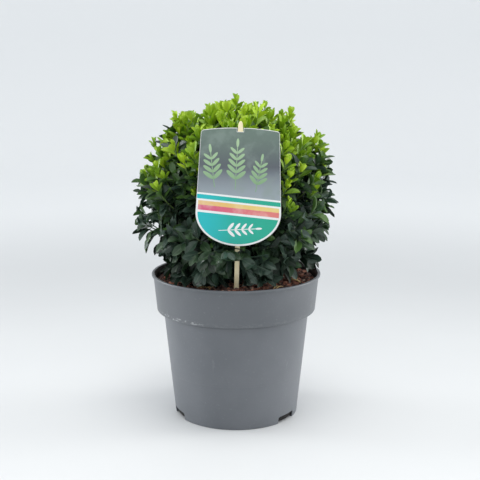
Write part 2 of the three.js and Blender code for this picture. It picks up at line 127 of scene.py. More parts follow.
# The branches that the source grows its shoots from, and the finer shoots that they carry. A shoot that
# would end in another piece is drawn back in steps towards the fork
BRANCHES = 150
LOWEST_BRANCH_Z = CROWN_FOOT_Z + 6
BRANCH_END = 0.56
BRANCH_BEND = 0.22
BRANCH_LEAD = 0.35
SHOOTS = 620
LOWEST_SHOOT_Z = CROWN_FOOT_Z + 9
SHOOT_JITTER = 9
HOLLOW_FROM = 0.27
SHOOT_LENGTH = 42
SHOOT_WANDER = 0.22
SHOOT_DRAWN_BACK = {"step": 0.03, "clear": 0.09, "least": 0.6}
SHOOT_LIFT = {"young": (0.8, 1.6), "leader": (0.8, 1.6), "old": (0.0, 0.75)}
LIFT_FROM_Z = 180
LIFT_DEPTH = 60
SHOOT_TESTED_AT = (0.4, 0.6, 0.8)
TIP_BACK = {"young": (13, 26), "old": (13, 29), "leader": (5, 11)}
YOUNG_FROM_Z = 212
YOUNG_FULL_Z = 322
YOUNG_LEFTWARD = 12
YOUNG_SHARE = {"low": 0.07, "high": 0.97, "steepness": 2.3}
LEADER_SHARE = 0.03
LEADER_FROM_Z = 300
LEAF_TURNS = (0, 28, -28, 56, -56)

# The twigs by kind: their radii at foot and tip, their sides, their rings and their bark
TWIGS = {
    "mass_stems": ((BOUGH["tip_radius"], STEM["tip_radius"]), 8, 4, "brown twig bark"),
    "woody_branches": ((1.25, 0.95), 6, 6, "brown twig bark"),
    "old_shoots": ((0.95, 0.6), 5, 6, "dark green shoot"),
    "young_shoots": ((0.85, 0.55), 5, 6, "pale green shoot"),
}

# Where the crown falls short of its outline: the azimuth and height of the middle of each dent,
# its half widths in degrees and in millimetres, and its depth
DENTS = (
    (180, 331, 55, 9, 15), (180, 303, 55, 14, 9), (183, 199, 45, 8, 15), (183, 183, 40, 9, 26),
    (0, 330, 55, 9, 17), (0, 302, 50, 12, 5), (0, 222, 28, 7, 10), (0, 197, 45, 10, 23),
    (-122, 268, 18, 32, 40), (-53, 276, 13, 32, 30), (75, 325, 40, 12, 12), (110, 205, 35, 9, 14),
    (180, 350, 60, 8, 9), (-125, 315, 12, 18, 14), (0, 352, 50, 7, 7),
)
UNEVENNESS = 7

# Shoots that stand out of the clipped crown, at the tips of their leaves
LEADERS = (
    (-70, 0, 342), (-57, -18, 339), (-26, 20, 350), (-14, -5, 346), (-6, 10, 355), (3, 14, 352),
    (24, 15, 353), (34, 5, 355), (43, -10, 346), (52, 0, 344), (63, 0, 347), (66, 20, 340),
    (-97, 0, 313), (-99, -10, 296), (89, -8, 313), (96, 4, 318), (-106, -20, 278), (103, 10, 300),
)
BRIGHT_TUFTS = (
    (58, -86, 254), (57, -84, 273), (91, -52, 277), (56, -80, 300), (-46, -80, 312), (-88, -62, 268),
    (73, -68, 289), (92, -12, 316), (97, -6, 310), (77, -40, 317), (55, -62, 314),
    (-64, -4, 338), (-59, -14, 337), (-68, -14, 331), (-76, -6, 324), (-81, -10, 317), (-61, 12, 339),
    (62, -84, 247), (52, -88, 246), (60, -82, 285), (-47, -72, 264), (-92, -34, 262), (88, -54, 262),
    (-58, -72, 300),
)
DARK_TUFTS = (
    (-115, -5, 214), (-112, -12, 232), (108, 0, 270), (108, -6, 237), (106, 2, 215), (93, -20, 180),
    (106, -6, 290), (108, 4, 281), (102, -18, 298), (104, -26, 262),
    (-66, -56, 163), (-76, -42, 164), (-50, -70, 162), (-80, -18, 166), (-36, -77, 163), (-22, -80, 164),
    (-60, -62, 168), (-80, -30, 169), (-81, -27, 163), (-80, -8, 167), (22, -80, 165), (36, -76, 168),
    (-9, -83, 194), (10, -83, 197), (-106, -30, 224), (-75, -6, 331),
    (50, -58, 166), (42, -66, 166), (32, -72, 166), (58, -48, 170),
)

# Where the sky shows through the crown: the place in the plane of the trunk, and the radius
SKY_GAPS = (
    (-86, 291, 1.6), (-78, 277, 2.2), (-69, 271, 1.7), (-98, 231, 4.6), (-86, 248, 1.5), (-89, 230, 1.5),
    (-82, 223, 2.2), (-93, 214, 4.6), (-87, 215, 2.6), (-97, 209, 2.8), (-90, 201, 2.0),
    (-82, 202, 3.1), (-91, 194, 4.0), (-78, 189, 2.6), (-72, 188, 2.6), (-62, 192, 2.0), (-64, 188, 2.0),
    (99, 232, 2.4), (95, 227, 3.3), (83, 216, 1.8), (81, 190, 2.0),
    (42, 336, 2.4), (25, 346, 2.0), (67, 340, 2.2),
)

# Pairs of leaves down a shoot: the way back from its tip, the spread from its axis, and the size
LEAF_PAIRS = {
    "young": ((0, 15, 0.62), (3.5, 30, 0.85), (9, 40, 1.0), (16, 50, 1.08), (25, 58, 1.0), (36, 64, 1.0)),
    "leader": ((0, 12, 0.55), (3, 26, 0.74), (6, 40, 0.62), (19, 48, 0.95), (27, 56, 1.0), (36, 64, 1.0)),
    "old": ((0, 30, 0.68), (6, 46, 0.92), (14, 60, 1.08), (24, 70, 1.12), (35, 76, 1.05)),
}
INNER_PAIRS = {"count": 4, "from": 0.55, "apart": 0.13, "spread": 68, "droop": 0.1}

# The leaves: young ones short and broad, old ones longer, pointed and largest at the foot of the crown.
# Each form is how far the blade is cupped, how far its tip bows down and its twist in degrees
YOUNG_LEAF = {
    "length": 16.2, "width": 8.2, "thickness": 0.45, "swell": 0.92, "taper": 0.64,
    "forms": ((0.6, 0.8, 8), (0.75, 2.0, -10), (0.45, -1.4, 0)),
}
OLD_LEAF = {
    "length": 21.5, "width": 10.4, "thickness": 0.55, "swell": 0.85, "taper": 0.68,
    "forms": ((0.45, 2.4, 14), (0.6, 5.2, -16), (0.35, 0.8, -6), (0.75, 3.6, 24)),
}
LEAF_STATIONS = (0, 0.1, 0.25, 0.46, 0.69, 0.89, 1)
STALK_SHARE = 0.1
STALK_HALF_WIDTH = 0.45
SHORT_LEAVES_WITHIN = 20
LEAF_SPACING = 0.62
LOW_FROM_Z = 225
LOW_DEPTH = 50
LOW_LEAF_GROWTH = 0.22
LOW_LEAF_SLENDERNESS = 0.2
# Leaves at the crown's foot are given a darker tone: painted shade under the crown.
LOW_LEAF_PAINTED_SHADE = 0.72

# Down a young shoot the leaves pass from lime to fresh to middle green, sooner the lower it stands. An old
# one has some middle green near its tip, and deep leaves, then blue ones, among the dark
FADE = {"length": 14, "growth": 0.16, "from_z": 255, "least": 11, "drop": 270, "jitter": 0.18}
FADE_ENDS = {"lime": 0.42, "fresh": 0.8, "middle": 1.1}
MIDDLE_FROM_Z = 222
# low_painted_shade: the extra share of deep leaves at the crown's foot, as painted shade
OLD_SHARES = {"middle": 0.4, "middle_within": 15, "deep": 0.1, "low_painted_shade": 0.5, "blue_from": 0.7}

# The shades of leaf: their deep colour, their light colour, the colour of the midrib, side veins and
# painted rim highlight, and the gloss
LEAF_SHADES = {
    "lime": ((0.20, 0.38, 0.006), (0.47, 0.66, 0.025), (0.56, 0.70, 0.12), 0.58),
    "fresh": ((0.09, 0.22, 0.007), (0.25, 0.42, 0.02), (0.36, 0.52, 0.11), 0.58),
    "middle": ((0.029, 0.080, 0.014), (0.085, 0.180, 0.034), (0.17, 0.28, 0.09), 0.58),
    "dark": ((0.012, 0.034, 0.013), (0.038, 0.084, 0.032), (0.11, 0.18, 0.10), 0.58),
    "blue": ((0.015, 0.036, 0.024), (0.044, 0.086, 0.057), (0.13, 0.19, 0.13), 0.58),
    # deep: the darkest old leaves, near black and less glossy, and painted shade on the leaves inside the
    # crown and towards its foot
    "deep": ((0.005, 0.013, 0.008), (0.015, 0.032, 0.018), (0.06, 0.09, 0.05), 0.3),
}

# Wood, bark and straw: the deep and the light colour, the fibres across and along, relief and roughness
FIBROUS = {
    "ridged bark": ((0.06, 0.045, 0.03), (0.2, 0.16, 0.11), 500.0, 60.0, 0.7, 0.9),
    "brown twig bark": ((0.05, 0.04, 0.025), (0.16, 0.13, 0.085), 800.0, 120.0, 0.4, 0.85),
    "dark green shoot": ((0.035, 0.06, 0.02), (0.09, 0.13, 0.05), 900.0, 200.0, 0.2, 0.55),
    "pale green shoot": ((0.10, 0.19, 0.04), (0.24, 0.37, 0.10), 900.0, 200.0, 0.15, 0.5),
    "dry straw": ((0.55, 0.36, 0.13), (0.88, 0.66, 0.32), 900.0, 900.0, 0.2, 0.7),
    "pale split wood": ((0.95, 0.79, 0.47), (1.0, 0.91, 0.64), 1400.0, 30.0, 0.35, 0.75),
}

# The label: a card before a wooden splint, in an upright frame of its own
LABEL_FOOT = Vector((0.5, -72, 157.4))
LABEL_LEAN = 6.9
LABEL_ROLL = 1.47
SPLINT = {"width": 5, "thickness": 1.8, "length": 180, "buried": 45, "tip": 7, "edge_round": 0.25}
CARD = {
    "foot": 49.5, "height": 124, "thickness": 0.9, "top_width": 79, "width": 88,
    "bowl": 35, "arch": 2.5, "corner": 4, "notch_width": 6.4, "notch_depth": 3.8,
}

# The card's print: its zones up the card, and the sprigs on them, each with its foot across and up the
# card, its height, its lean, its pairs of leaves and their length
PRINT = {"margin": 2.0, "field_margin": 0.4, "thickness": 0.1, "slant": 5, "stem": 0.7, "leaf_width": 0.16}
PRINT_EDGES = {
    "bowl": (0, 82), "pink": (84.5, 90), "gold": (90.01, 94.5), "stripe": (96.5, 101),
    "field": (103, 2 * CARD["height"]),
}
FIELD_SPRIGS = (((-25, 112), 36, -7, 4, 13), ((-4, 110), 44, 2, 5, 13), ((17, 108), 32, 9, 4, 12))
BOWL_SPRIGS = (((-20, 66), 38, 86, 4, 10),)

# The colours of the print, each at its share of the way along a piece
PRINT_COLOURS = {
    "white": ((0.0, (0.90, 0.91, 0.90)), (1.0, (0.94, 0.94, 0.93))),
    "teal": ((0.0, (0.005, 0.52, 0.56)), (0.4, (0.005, 0.44, 0.36)), (1.0, (0.005, 0.42, 0.28))),
    "pink": ((0.0, (0.72, 0.10, 0.22)), (1.0, (0.80, 0.22, 0.20))),
    "gold": ((0.0, (0.85, 0.50, 0.16)), (1.0, (0.86, 0.66, 0.22))),
    "slate": ((0.0, (0.33, 0.38, 0.42)), (0.45, (0.10, 0.115, 0.135)), (1.0, (0.15, 0.21, 0.175))),
    "sage": ((0.0, (0.22, 0.40, 0.20)), (1.0, (0.45, 0.62, 0.38))),
}

# The air between the mix and the lowest leaves, and the air that leaves and twigs keep round other pieces
BARE_MIX = {"azimuth": -8, "most": 17, "least": 3.5, "narrowness": 7}
ROOM = {
    "card": 2, "card_front": 60, "splint": 1.2, "splint_side": 8, "bare_splint": 36,
    "pot": 1.2, "rim": 5.5,
}

# The camera of the photograph
CAMERA_PLACE = Vector((4.4, -1016.3, 393.7))
CAMERA_PITCH = 10.905
SENSOR_WIDTH = 36
FOCAL_LENGTH_IN_FRAMES = 920.5 / 480

# The studio in metres: the light of its walls, its floor and cove, and its softboxes, each with its
# place, the place it looks to, its size, power, colour and spread
WALL_LIGHT = {"colour": (0.95, 0.98, 1.0), "strength": 1.03}
STUDIO = {"floor_radius": 2.2, "cove_radius": 0.5, "wall_height": 0.95}
SOFTBOXES = {
    "overhead softbox": ((0.1, -0.4, 1.9), (0, -0.4, 0), 1.0, 2.0, (1.0, 0.985, 0.95), 60),
    "left softbox": ((-1.4, 0.35, 0.4), (0, 0, 0.2), 0.8, 1.3, (0.97, 0.99, 1.0), 40),
    "right softbox": ((1.4, 0.25, 0.4), (0, 0, 0.2), 0.8, 1.4, (1.0, 0.99, 0.97), 40),
}


# The camera and the light

def add_object(name, data):
    made = bpy.data.objects.new(name, data)
    bpy.context.scene.collection.objects.link(made)
    return made


def set_camera():
    data = bpy.data.cameras.new("camera")
    data.sensor_width = SENSOR_WIDTH
    data.lens = SENSOR_WIDTH * FOCAL_LENGTH_IN_FRAMES
    camera = add_object("camera", data)
    camera.location = CAMERA_PLACE * MM
    camera.rotation_euler = (math.radians(90 - CAMERA_PITCH), 0, 0)
    bpy.context.scene.camera = camera


def add_softbox(name, place, target, size, power, colour, spread):
    data = bpy.data.lights.new(name, "AREA")
    data.size = size
    data.energy = power
    data.color = colour
    data.spread = math.radians(spread)
    light = add_object(name, data)
    light.location = place
    light.rotation_euler = (Vector(target) - light.location).to_track_quat("-Z", "Y").to_euler()


def set_light():
    world = bpy.data.worlds.new("studio")
    world.use_nodes = True
    background = world.node_tree.nodes["Background"]
    background.inputs["Color"].default_value = (*WALL_LIGHT["colour"], 1)
    background.inputs["Strength"].default_value = WALL_LIGHT["strength"]
    bpy.context.scene.world = world
    bpy.context.scene.view_settings.view_transform = "Standard"
    for name, settings in SOFTBOXES.items():
        add_softbox(name, *settings)


# Pieces of nodes that the materials share

def add_node(tree, kind, inputs=None, **settings):
    """A new node with its settings, and its inputs set to a value or joined to a socket."""
    node = tree.nodes.new(kind)
    for key, value in settings.items():
        setattr(node, key, value)
    for key, value in (inputs or {}).items():
        if isinstance(value, bpy.types.NodeSocket):
            tree.links.new(value, node.inputs[key])
        else:
            node.inputs[key].default_value = value
    return node


def join(tree, sockets, **values):
    """Each value joined to the socket that carries its name."""
    for name, value in values.items():
        tree.links.new(value, sockets[name.replace("_", " ")])


def math_node(tree, operation, first, second=0.0, third=0.0):
    inputs = {0: first, 1: second, 2: third}
    return add_node(tree, "ShaderNodeMath", inputs, operation=operation).outputs[0]


def times(tree, product, *factors):
    for factor in factors:
        product = math_node(tree, "MULTIPLY", product, factor)
    return product


def ramp(tree, value, low, high, to_low=0.0, to_high=1.0):
    """A value carried smoothly from one range to another and held at its ends."""
    inputs = {"Value": value, 1: low, 2: high, 3: to_low, 4: to_high}
    return add_node(tree, "ShaderNodeMapRange", inputs, interpolation_type="SMOOTHSTEP").outputs[0]


def mixed(tree, share, first, second):
    """The first colour turned to the second by a share."""
    node = add_node(tree, "ShaderNodeMix", data_type="RGBA")
    for socket, value in ((node.inputs[0], share), (node.inputs[6], first), (node.inputs[7], second)):
        if isinstance(value, bpy.types.NodeSocket):
            tree.links.new(value, socket)
        else:
            socket.default_value = value if isinstance(value, float) else (*value[:3], 1)
    return node.outputs[2]


def object_place(tree, scale=(1, 1, 1)):
    """The place on the piece in metres, stretched."""
    place = add_node(tree, "ShaderNodeTexCoord").outputs["Object"]
    return add_node(tree, "ShaderNodeMapping", {"Vector": place, "Scale": scale}).outputs[0]


def parts_of(tree, vector):
    return add_node(tree, "ShaderNodeSeparateXYZ", {0: vector}).outputs


def attribute(tree, name):
    return add_node(tree, "ShaderNodeAttribute", attribute_name=name).outputs["Fac"]


def noise_at(tree, place, scale, detail=3.0, roughness=0.5):
    inputs = {"Vector": place, "Scale": scale, "Detail": detail, "Roughness": roughness}
    return add_node(tree, "ShaderNodeTexNoise", inputs).outputs["Fac"]


def bumped(tree, height, strength, distance):
    inputs = {"Height": height, "Strength": strength, "Distance": distance}
    return add_node(tree, "ShaderNodeBump", inputs).outputs["Normal"]


def new_group(name, inputs, outputs):
    """An empty shader node group with its named sockets, and the sockets inside it."""
    tree = bpy.data.node_groups.new(name, "ShaderNodeTree")
    for label, kind in inputs.items():
        tree.interface.new_socket(label, in_out="INPUT", socket_type=kind)
    for label, kind in outputs.items():
        tree.interface.new_socket(label, in_out="OUTPUT", socket_type=kind)
    entry = tree.nodes.new("NodeGroupInput")
    leave = tree.nodes.new("NodeGroupOutput")
    return tree, entry.outputs, leave.inputs


def use_group(tree, group, **values):
    """A shared group with its sockets set, and its outputs."""
    node = add_node(tree, "ShaderNodeGroup", node_tree=group)
    for name, value in values.items():
        node.inputs[name].default_value = value
    return node.outputs


NUMBER, COLOUR, VECTOR = "NodeSocketFloat", "NodeSocketColor", "NodeSocketVector"


def grain_group():
    """Long uneven fibres up a piece: a mask for its colour and a normal for its relief."""
    given_sockets = {"Across": NUMBER, "Along": NUMBER, "Relief": NUMBER}
    tree, given, out = new_group("fibres", given_sockets, {"Mask": NUMBER, "Normal": VECTOR})
    scales = {0: given["Across"], 1: given["Across"], 2: given["Along"]}
    inputs = {
        0: add_node(tree, "ShaderNodeTexCoord").outputs["Object"],
        1: add_node(tree, "ShaderNodeCombineXYZ", scales).outputs[0],
    }
    stretched = add_node(tree, "ShaderNodeVectorMath", inputs, operation="MULTIPLY").outputs[0]
    fibres = noise_at(tree, stretched, 1.0, 4.0, 0.6)
    relief = bumped(tree, fibres, given["Relief"], 0.0006)
    join(tree, out, Mask=ramp(tree, fibres, 0.3, 0.7), Normal=relief)
    return tree


def leaf_group():
    """A leaf's colour from its own tone, with a paler midrib and side veins, a painted highlight along its
    rim, and the veins' relief.
    """
    given_sockets = {"Deep": COLOUR, "Light": COLOUR, "Rib": COLOUR}
    tree, given, out = new_group(
        "leaf blade", given_sockets, {"Colour": COLOUR, "Roughness": NUMBER, "Normal": VECTOR})
    tone = math_node(tree, "SUBTRACT", attribute(tree, "leaf_tone"), 0.25)
    mottle = noise_at(tree, object_place(tree), 260.0, 2.0)
    share = math_node(tree, "MULTIPLY_ADD", mottle, 0.5, tone)
    blade = mixed(tree, ramp(tree, share, 0.0, 1.0), given["Deep"], given["Light"])
    across, along, _ = parts_of(tree, add_node(tree, "ShaderNodeUVMap", uv_map="leaf").outputs["UV"])
    off = math_node(tree, "ABSOLUTE", math_node(tree, "SUBTRACT", across, 0.5))
    # A paler band along the rim joins the midrib's mask: a painted highlight on the leaf's edge.
    rib_and_rim_highlight = math_node(tree, "MAXIMUM", ramp(tree, off, 0.05, 0.02), ramp(tree, off, 0.43, 0.5, 0.0, 0.8))
    slant = math_node(tree, "MULTIPLY_ADD", off, -0.9, along)
    veins = ramp(tree, math_node(tree, "SINE", times(tree, slant, 48.0)), 0.6, 1.0)
    rib_veins_and_rim_highlight = math_node(tree, "MAXIMUM", rib_and_rim_highlight, times(tree, veins, 0.22))
    join(
        tree, out,
        Colour=mixed(tree, times(tree, rib_veins_and_rim_highlight, 0.4), blade, given["Rib"]),
        Roughness=ramp(tree, mottle, 0.3, 0.7, 0.34, 0.5),
        Normal=bumped(tree, rib_veins_and_rim_highlight, 0.35, 0.0004),
    )
    return tree


FIBRES = grain_group()
LEAF_BLADE = leaf_group()


# The materials

def new_material(name, **plain):
    """A material with one shader, whose plain sockets are set on it."""
    material = bpy.data.materials.new(name)
    material.use_nodes = True
    tree = material.node_tree
    shader = tree.nodes["Principled BSDF"]
    for key, value in plain.items():
        shader.inputs[key.replace("_", " ")].default_value = value
    return material, tree, shader.inputs


def studio_floor():
    """Matt paint on the floor, darker near the plant and paler where it turns up into the far wall:
    painted shade and painted light that even out the lamps' pool.
    """
    material, tree, surface = new_material("studio floor", Roughness=0.75)
    place = object_place(tree)
    painted = mixed(tree, noise_at(tree, place, 6.0, 3.0), (0.66, 0.67, 0.68), (0.69, 0.70, 0.71))
    distance = add_node(tree, "ShaderNodeVectorMath", {0: place}, operation="LENGTH").outputs["Value"]
    # Darker paint near the plant, paler far off: painted shade and painted light against the lamps' pool.
    far = ramp(tree, distance, 0.5, 1.6)
    join(tree, surface, Base_Color=mixed(tree, far, painted, (0.87, 0.88, 0.89)))
    return material


def moulded_plastic():
    """Grey plastic with a soft sheen, faint clouds, a scuffed step, painted shade on its band and under
    the step, and its inner face dusted with soil and painted near black as painted shade.
    """
    material, tree, surface = new_material("grey moulded plastic")
    place = object_place(tree)
    across, away, height = parts_of(tree, place)
    step = BAND_FOOT_Z * MM
    cloud = noise_at(tree, place, 14.0, 4.0, 0.55)
    clouded = ramp(tree, cloud, 0.3, 0.7)
    body = mixed(tree, clouded, (0.121, 0.131, 0.146), (0.145, 0.155, 0.171))
    # The band is painted darker than the body: painted shade from the crown that overhangs it.
    band = mixed(tree, clouded, (0.101, 0.110, 0.122), (0.121, 0.130, 0.143))
    grey = mixed(tree, ramp(tree, height, step - 0.001, step + 0.001), body, band)
    # Just under the step the body is painted darker: painted shade under the ledge.
    below = ramp(tree, height, step - 0.004, step - 0.0015)
    painted_shade_under_step = times(tree, below, ramp(tree, height, step - 0.0008, step - 0.0012), 0.6)
    shaded_under_step = mixed(tree, painted_shade_under_step, grey, (0.05, 0.054, 0.06))
    fine = noise_at(tree, place, 420.0, 2.0)
    specked = mixed(tree, ramp(tree, fine, 0.62, 0.8, 0.0, 0.3), shaded_under_step, (0.24, 0.26, 0.27))
    above = ramp(tree, height, step + 0.0005, step + 0.0015)
    on_edge = times(tree, above, ramp(tree, height, step + 0.0057, step + 0.003))
    leftward = times(tree, ramp(tree, across, -0.030, -0.045, 0.1, 1.0), ramp(tree, away, -0.02, -0.05))
    dashes = ramp(tree, noise_at(tree, object_place(tree, (1, 1, 3)), 210.0, 4.0, 0.7), 0.5, 0.58)
    worn = mixed(tree, times(tree, on_edge, leftward, dashes, 0.55), specked, (0.5, 0.51, 0.51))
    rub = noise_at(tree, object_place(tree, (1, 1, 0.25)), 90.0, 3.0, 0.6)
    rubbed = mixed(tree, ramp(tree, rub, 0.66, 0.78, 0.0, 0.35), worn, (0.27, 0.285, 0.3))
    # The wall under the rim and the pot's floor go near black: soil dusting and painted shade.
    dust_and_shade = times(tree, attribute(tree, "soil_dust_and_shade"), 0.85)
    join(
        tree, surface,
        Base_Color=mixed(tree, dust_and_shade, rubbed, (0.012, 0.011, 0.010)),
        Roughness=ramp(tree, cloud, 0.25, 0.75, 0.4, 0.52),
        Normal=bumped(tree, fine, 0.12, 0.0004),
    )
    return material


def damp_mix():
    """Crumbly peat, nearly black towards the drains."""
    material, tree, surface = new_material("damp peat", Roughness=0.95)
    place = object_place(tree)
    crumbs = noise_at(tree, place, 300.0, 5.0, 0.65)
    peat = mixed(tree, crumbs, (0.014, 0.010, 0.009), (0.14, 0.08, 0.062))
    wet_foot = ramp(tree, parts_of(tree, place)[2], 0.05, 0.02)
    colour = mixed(tree, wet_foot, peat, (0.006, 0.005, 0.005))
    join(tree, surface, Base_Color=colour, Normal=bumped(tree, crumbs, 0.8, 0.002))
    return material


def chip_bark(name, deep, light):
    """Patchy bark with dark cracks between its ridges."""
    material, tree, surface = new_material(name, Roughness=0.85)
    place = object_place(tree)
    patch = noise_at(tree, place, 160.0, 3.0, 0.6)
    ridges = noise_at(tree, place, 900.0, 3.0, 0.6)
    body = mixed(tree, ramp(tree, patch, 0.3, 0.7), deep, light)
    cracked = mixed(tree, ramp(tree, ridges, 0.45, 0.3, 0.0, 0.7), body, (0.01, 0.006, 0.004))
    join(tree, surface, Base_Color=cracked, Normal=bumped(tree, ridges, 0.6, 0.0008))
    return material


def fibrous(name):
    """Wood, bark or straw: two tones parted by long fibres."""
    deep, light, across, along, relief, roughness = FIBROUS[name]
    material, tree, surface = new_material(name, Roughness=roughness)
    fibres = use_group(tree, FIBRES, Across=across, Along=along, Relief=relief)
    join(tree, surface, Base_Color=mixed(tree, fibres["Mask"], deep, light), Normal=fibres["Normal"])
    return material


def leaf_skin(name, deep, light, rib_and_rim_highlight, gloss):
    material, tree, surface = new_material(name, Specular_IOR_Level=gloss)
    blade = use_group(tree, LEAF_BLADE, Deep=(*deep, 1), Light=(*light, 1), Rib=(*rib_and_rim_highlight, 1))
    join(tree, surface, Base_Color=blade["Colour"], Roughness=blade["Roughness"], Normal=blade["Normal"])
    return material


def printed(name, colours, axis, low, high, blotch=0.0, blotch_colour=(0.5, 0.5, 0.5)):
    """Glossy print whose colour runs along one axis of the piece, with soft blotches."""
    material, tree, surface = new_material(name, Roughness=0.28, Coat_Weight=0.15, Coat_Roughness=0.12)
    place = object_place(tree)
    share = ramp(tree, parts_of(tree, place)[axis], low, high)
    run = add_node(tree, "ShaderNodeValToRGB", {"Fac": share})
    band = run.color_ramp.elements
    for index, (position, colour) in enumerate(PRINT_COLOURS[colours]):
        stop = band[index] if index < 2 else band.new(position)
        stop.position = position
        stop.color = (*colour, 1)
    soft = ramp(tree, noise_at(tree, place, 55.0, 3.0, 0.6), 0.45, 0.7, 0.0, blotch)
    join(tree, surface, Base_Color=mixed(tree, soft, run.outputs["Color"], blotch_colour))
    return material


# Making and finishing pieces

def smooth(mesh, angle=60):
    """Smooth shading, broken where two faces meet at more than an angle."""
    mesh.shade_smooth()
    mesh.set_sharp_from_angle(angle=math.radians(angle))


def finish_piece(name, mesh, material, replaced=()):
    """The piece as an object in metres that rides on the plant, and hides the CAD nodes it replaces."""
    mesh.name = name
    mesh.transform(Matrix.Scale(MM, 4))
    mesh.materials.clear()
    mesh.materials.append(material)
    piece = add_object(name, mesh)
    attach(piece, "root")
    if replaced:
        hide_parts(*replaced)


def mesh_of(bm, name="shape"):
    mesh = bpy.data.meshes.new(name)
    bm.to_mesh(mesh)
    bm.free()
    return mesh


def turned(degrees, axis):
    return Matrix.Rotation(math.radians(degrees), 4, axis)


def edges_along(bm, axis, least):
    """The edges that run along an axis by more than a length."""
    return [edge for edge in bm.edges if abs(edge.verts[0].co[axis] - edge.verts[1].co[axis]) > least]


def spun(profile, steps, dusty_and_shaded=0):
    """A closed outline of (radius, height) pairs spun about the Z axis, its last points marked as dusted
    with soil and painted with shade.
    """
    bm = bmesh.new()
    dust_and_shade = bm.verts.layers.float.new("soil_dust_and_shade")
    verts = [bm.verts.new((radius, 0, z)) for radius, z in profile]
    for vert in verts[len(verts) - dusty_and_shaded:]:
        vert[dust_and_shade] = 1.0
    outline = verts + [bm.edges.new(pair) for pair in zip(verts, verts[1:])]
    turn = {"axis": (0, 0, 1), "cent": (0, 0, 0), "angle": 2 * math.pi}
    bmesh.ops.spin(bm, geom=outline, steps=steps, use_merge=True, **turn)
    bmesh.ops.remove_doubles(bm, verts=bm.verts, dist=0.001)
    bmesh.ops.recalc_face_normals(bm, faces=bm.faces)
    return bm


def values_of(items, key, width, kind=float):
    """A property of a mesh's items, as rows of numbers."""
    values = np.zeros(width * len(items), kind)
    items.foreach_get(key, values)
    return values.reshape(-1, width)


def corners_of(mesh):
    return values_of(mesh.vertices, "co", 3)


def joined_copies(name, template, corners, uv=None, tones=None, sharp_rim=None):
    """One mesh from many copies of a template, where corners holds the place of each copy's corners."""
    copies, count = corners.shape[:2]
    loops = values_of(template.loops, "vertex_index", 1, int).T
    starts = values_of(template.polygons, "loop_start", 1, int).T
    copy = np.arange(copies)[:, None]
    mesh = bpy.data.meshes.new(name)
    mesh.vertices.add(copies * count)
    mesh.vertices.foreach_set("co", corners.astype(np.float32).ravel())
    mesh.loops.add(copies * loops.size)
    mesh.loops.foreach_set("vertex_index", (loops + copy * count).ravel())
    mesh.polygons.add(copies * starts.size)
    mesh.polygons.foreach_set("loop_start", (starts + copy * loops.size).ravel())
    mesh.update(calc_edges=True)
    mesh.shade_smooth()
    if uv is not None:
        layer = mesh.uv_layers.new(name="leaf")
        layer.uv.foreach_set("vector", np.tile(uv, (copies, 1)).astype(np.float32).ravel())
    if tones is not None:
        tone = mesh.attributes.new("leaf_tone", "FLOAT", "POINT")
        tone.data.foreach_set("value", np.repeat(tones, count).astype(np.float32))
    if sharp_rim is not None:
        ends = values_of(mesh.edges, "vertices", 2, int)
        sharp = mesh.attributes.new("sharp_edge", "BOOLEAN", "EDGE")
        sharp.data.foreach_set("value", sharp_rim[ends % count].all(axis=1))
    return mesh


def merged(name, meshes):
    bm = bmesh.new()
    for mesh in meshes:
        bm.from_mesh(mesh)
    return mesh_of(bm, name)


# The stage

def make_stage():
    """A pale floor that turns up in a soft cove far behind the plant, on all sides."""
    floor_radius, cove_radius = STUDIO["floor_radius"], STUDIO["cove_radius"]
    cove = [
        (floor_radius + cove_radius * math.sin(turn), cove_radius - cove_radius * math.cos(turn))
        for turn in np.linspace(0, math.pi / 2, 9)
    ]
    wall_top = (floor_radius + cove_radius, STUDIO["wall_height"])
    mesh = mesh_of(spun([(0, 0), *cove, wall_top], 96), "studio_floor")
    if mesh.polygons[0].normal.z < 0:
        mesh.flip_normals()
    mesh.shade_smooth()
    mesh.materials.append(studio_floor())
    add_object("studio_floor", mesh)


# The pot

def curve_points(first, middle, last, steps):
    """Points along a simple curve pulled towards its middle point."""
    shares = [i / steps for i in range(steps + 1)]
    return [
        tuple((1 - t) ** 2 * a + 2 * t * (1 - t) * b + t * t * c for a, b, c in zip(first, middle, last))
        for t in shares
    ]


def rounded(corner, before, after):
    """A profile's corner rounded off, from one small way off it to the other."""
    first = (corner[0] + before[0], corner[1] + before[1])
    last = (corner[0] + after[0], corner[1] + after[1])
    return curve_points(first, corner, last, 4)


def pot_outside():
    """The outer face from the foot up: a plain body, a ledge, a deep band over it and a narrow lip."""
    lip_foot = POT_HEIGHT - LIP_HEIGHT
    widening = (BODY_TOP_RADIUS - BASE_RADIUS) / BODY_TOP_Z
    line = [
        (BASE_RADIUS + widening * (MOULD_LINE_Z + rise) + relief, MOULD_LINE_Z + rise)
        for rise, relief in MOULD_LINE
    ]
    return [
        *rounded((BASE_RADIUS, 0), (-EDGE_ROUND, 0), (0, EDGE_ROUND)),
        *line,
        *rounded((BODY_TOP_RADIUS, BODY_TOP_Z), (-0.1, -EDGE_ROUND), (EDGE_ROUND, 0.15)),
        *rounded((BAND_FOOT_RADIUS, BAND_FOOT_Z), (-EDGE_ROUND, -0.15), (0.1, EDGE_ROUND)),
        (BAND_TOP_RADIUS, lip_foot),
        *rounded((RIM_RADIUS, lip_foot + 0.3), (-0.5, 0), (0, 0.5)),
        *rounded((RIM_RADIUS, POT_HEIGHT), (0, -EDGE_ROUND), (-EDGE_ROUND, 0)),
    ]


def pot_inside():
    """The inner face of the wall, from the rim down to the floor."""
    return [
        *rounded((BAND_TOP_RADIUS - WALL, POT_HEIGHT), (EDGE_ROUND, 0), (0, -EDGE_ROUND)),
        (BAND_FOOT_RADIUS - WALL, BAND_FOOT_Z + WALL),
        (BODY_TOP_RADIUS - WALL, BODY_TOP_Z + WALL),
        (BASE_RADIUS - WALL, FLOOR),
    ]


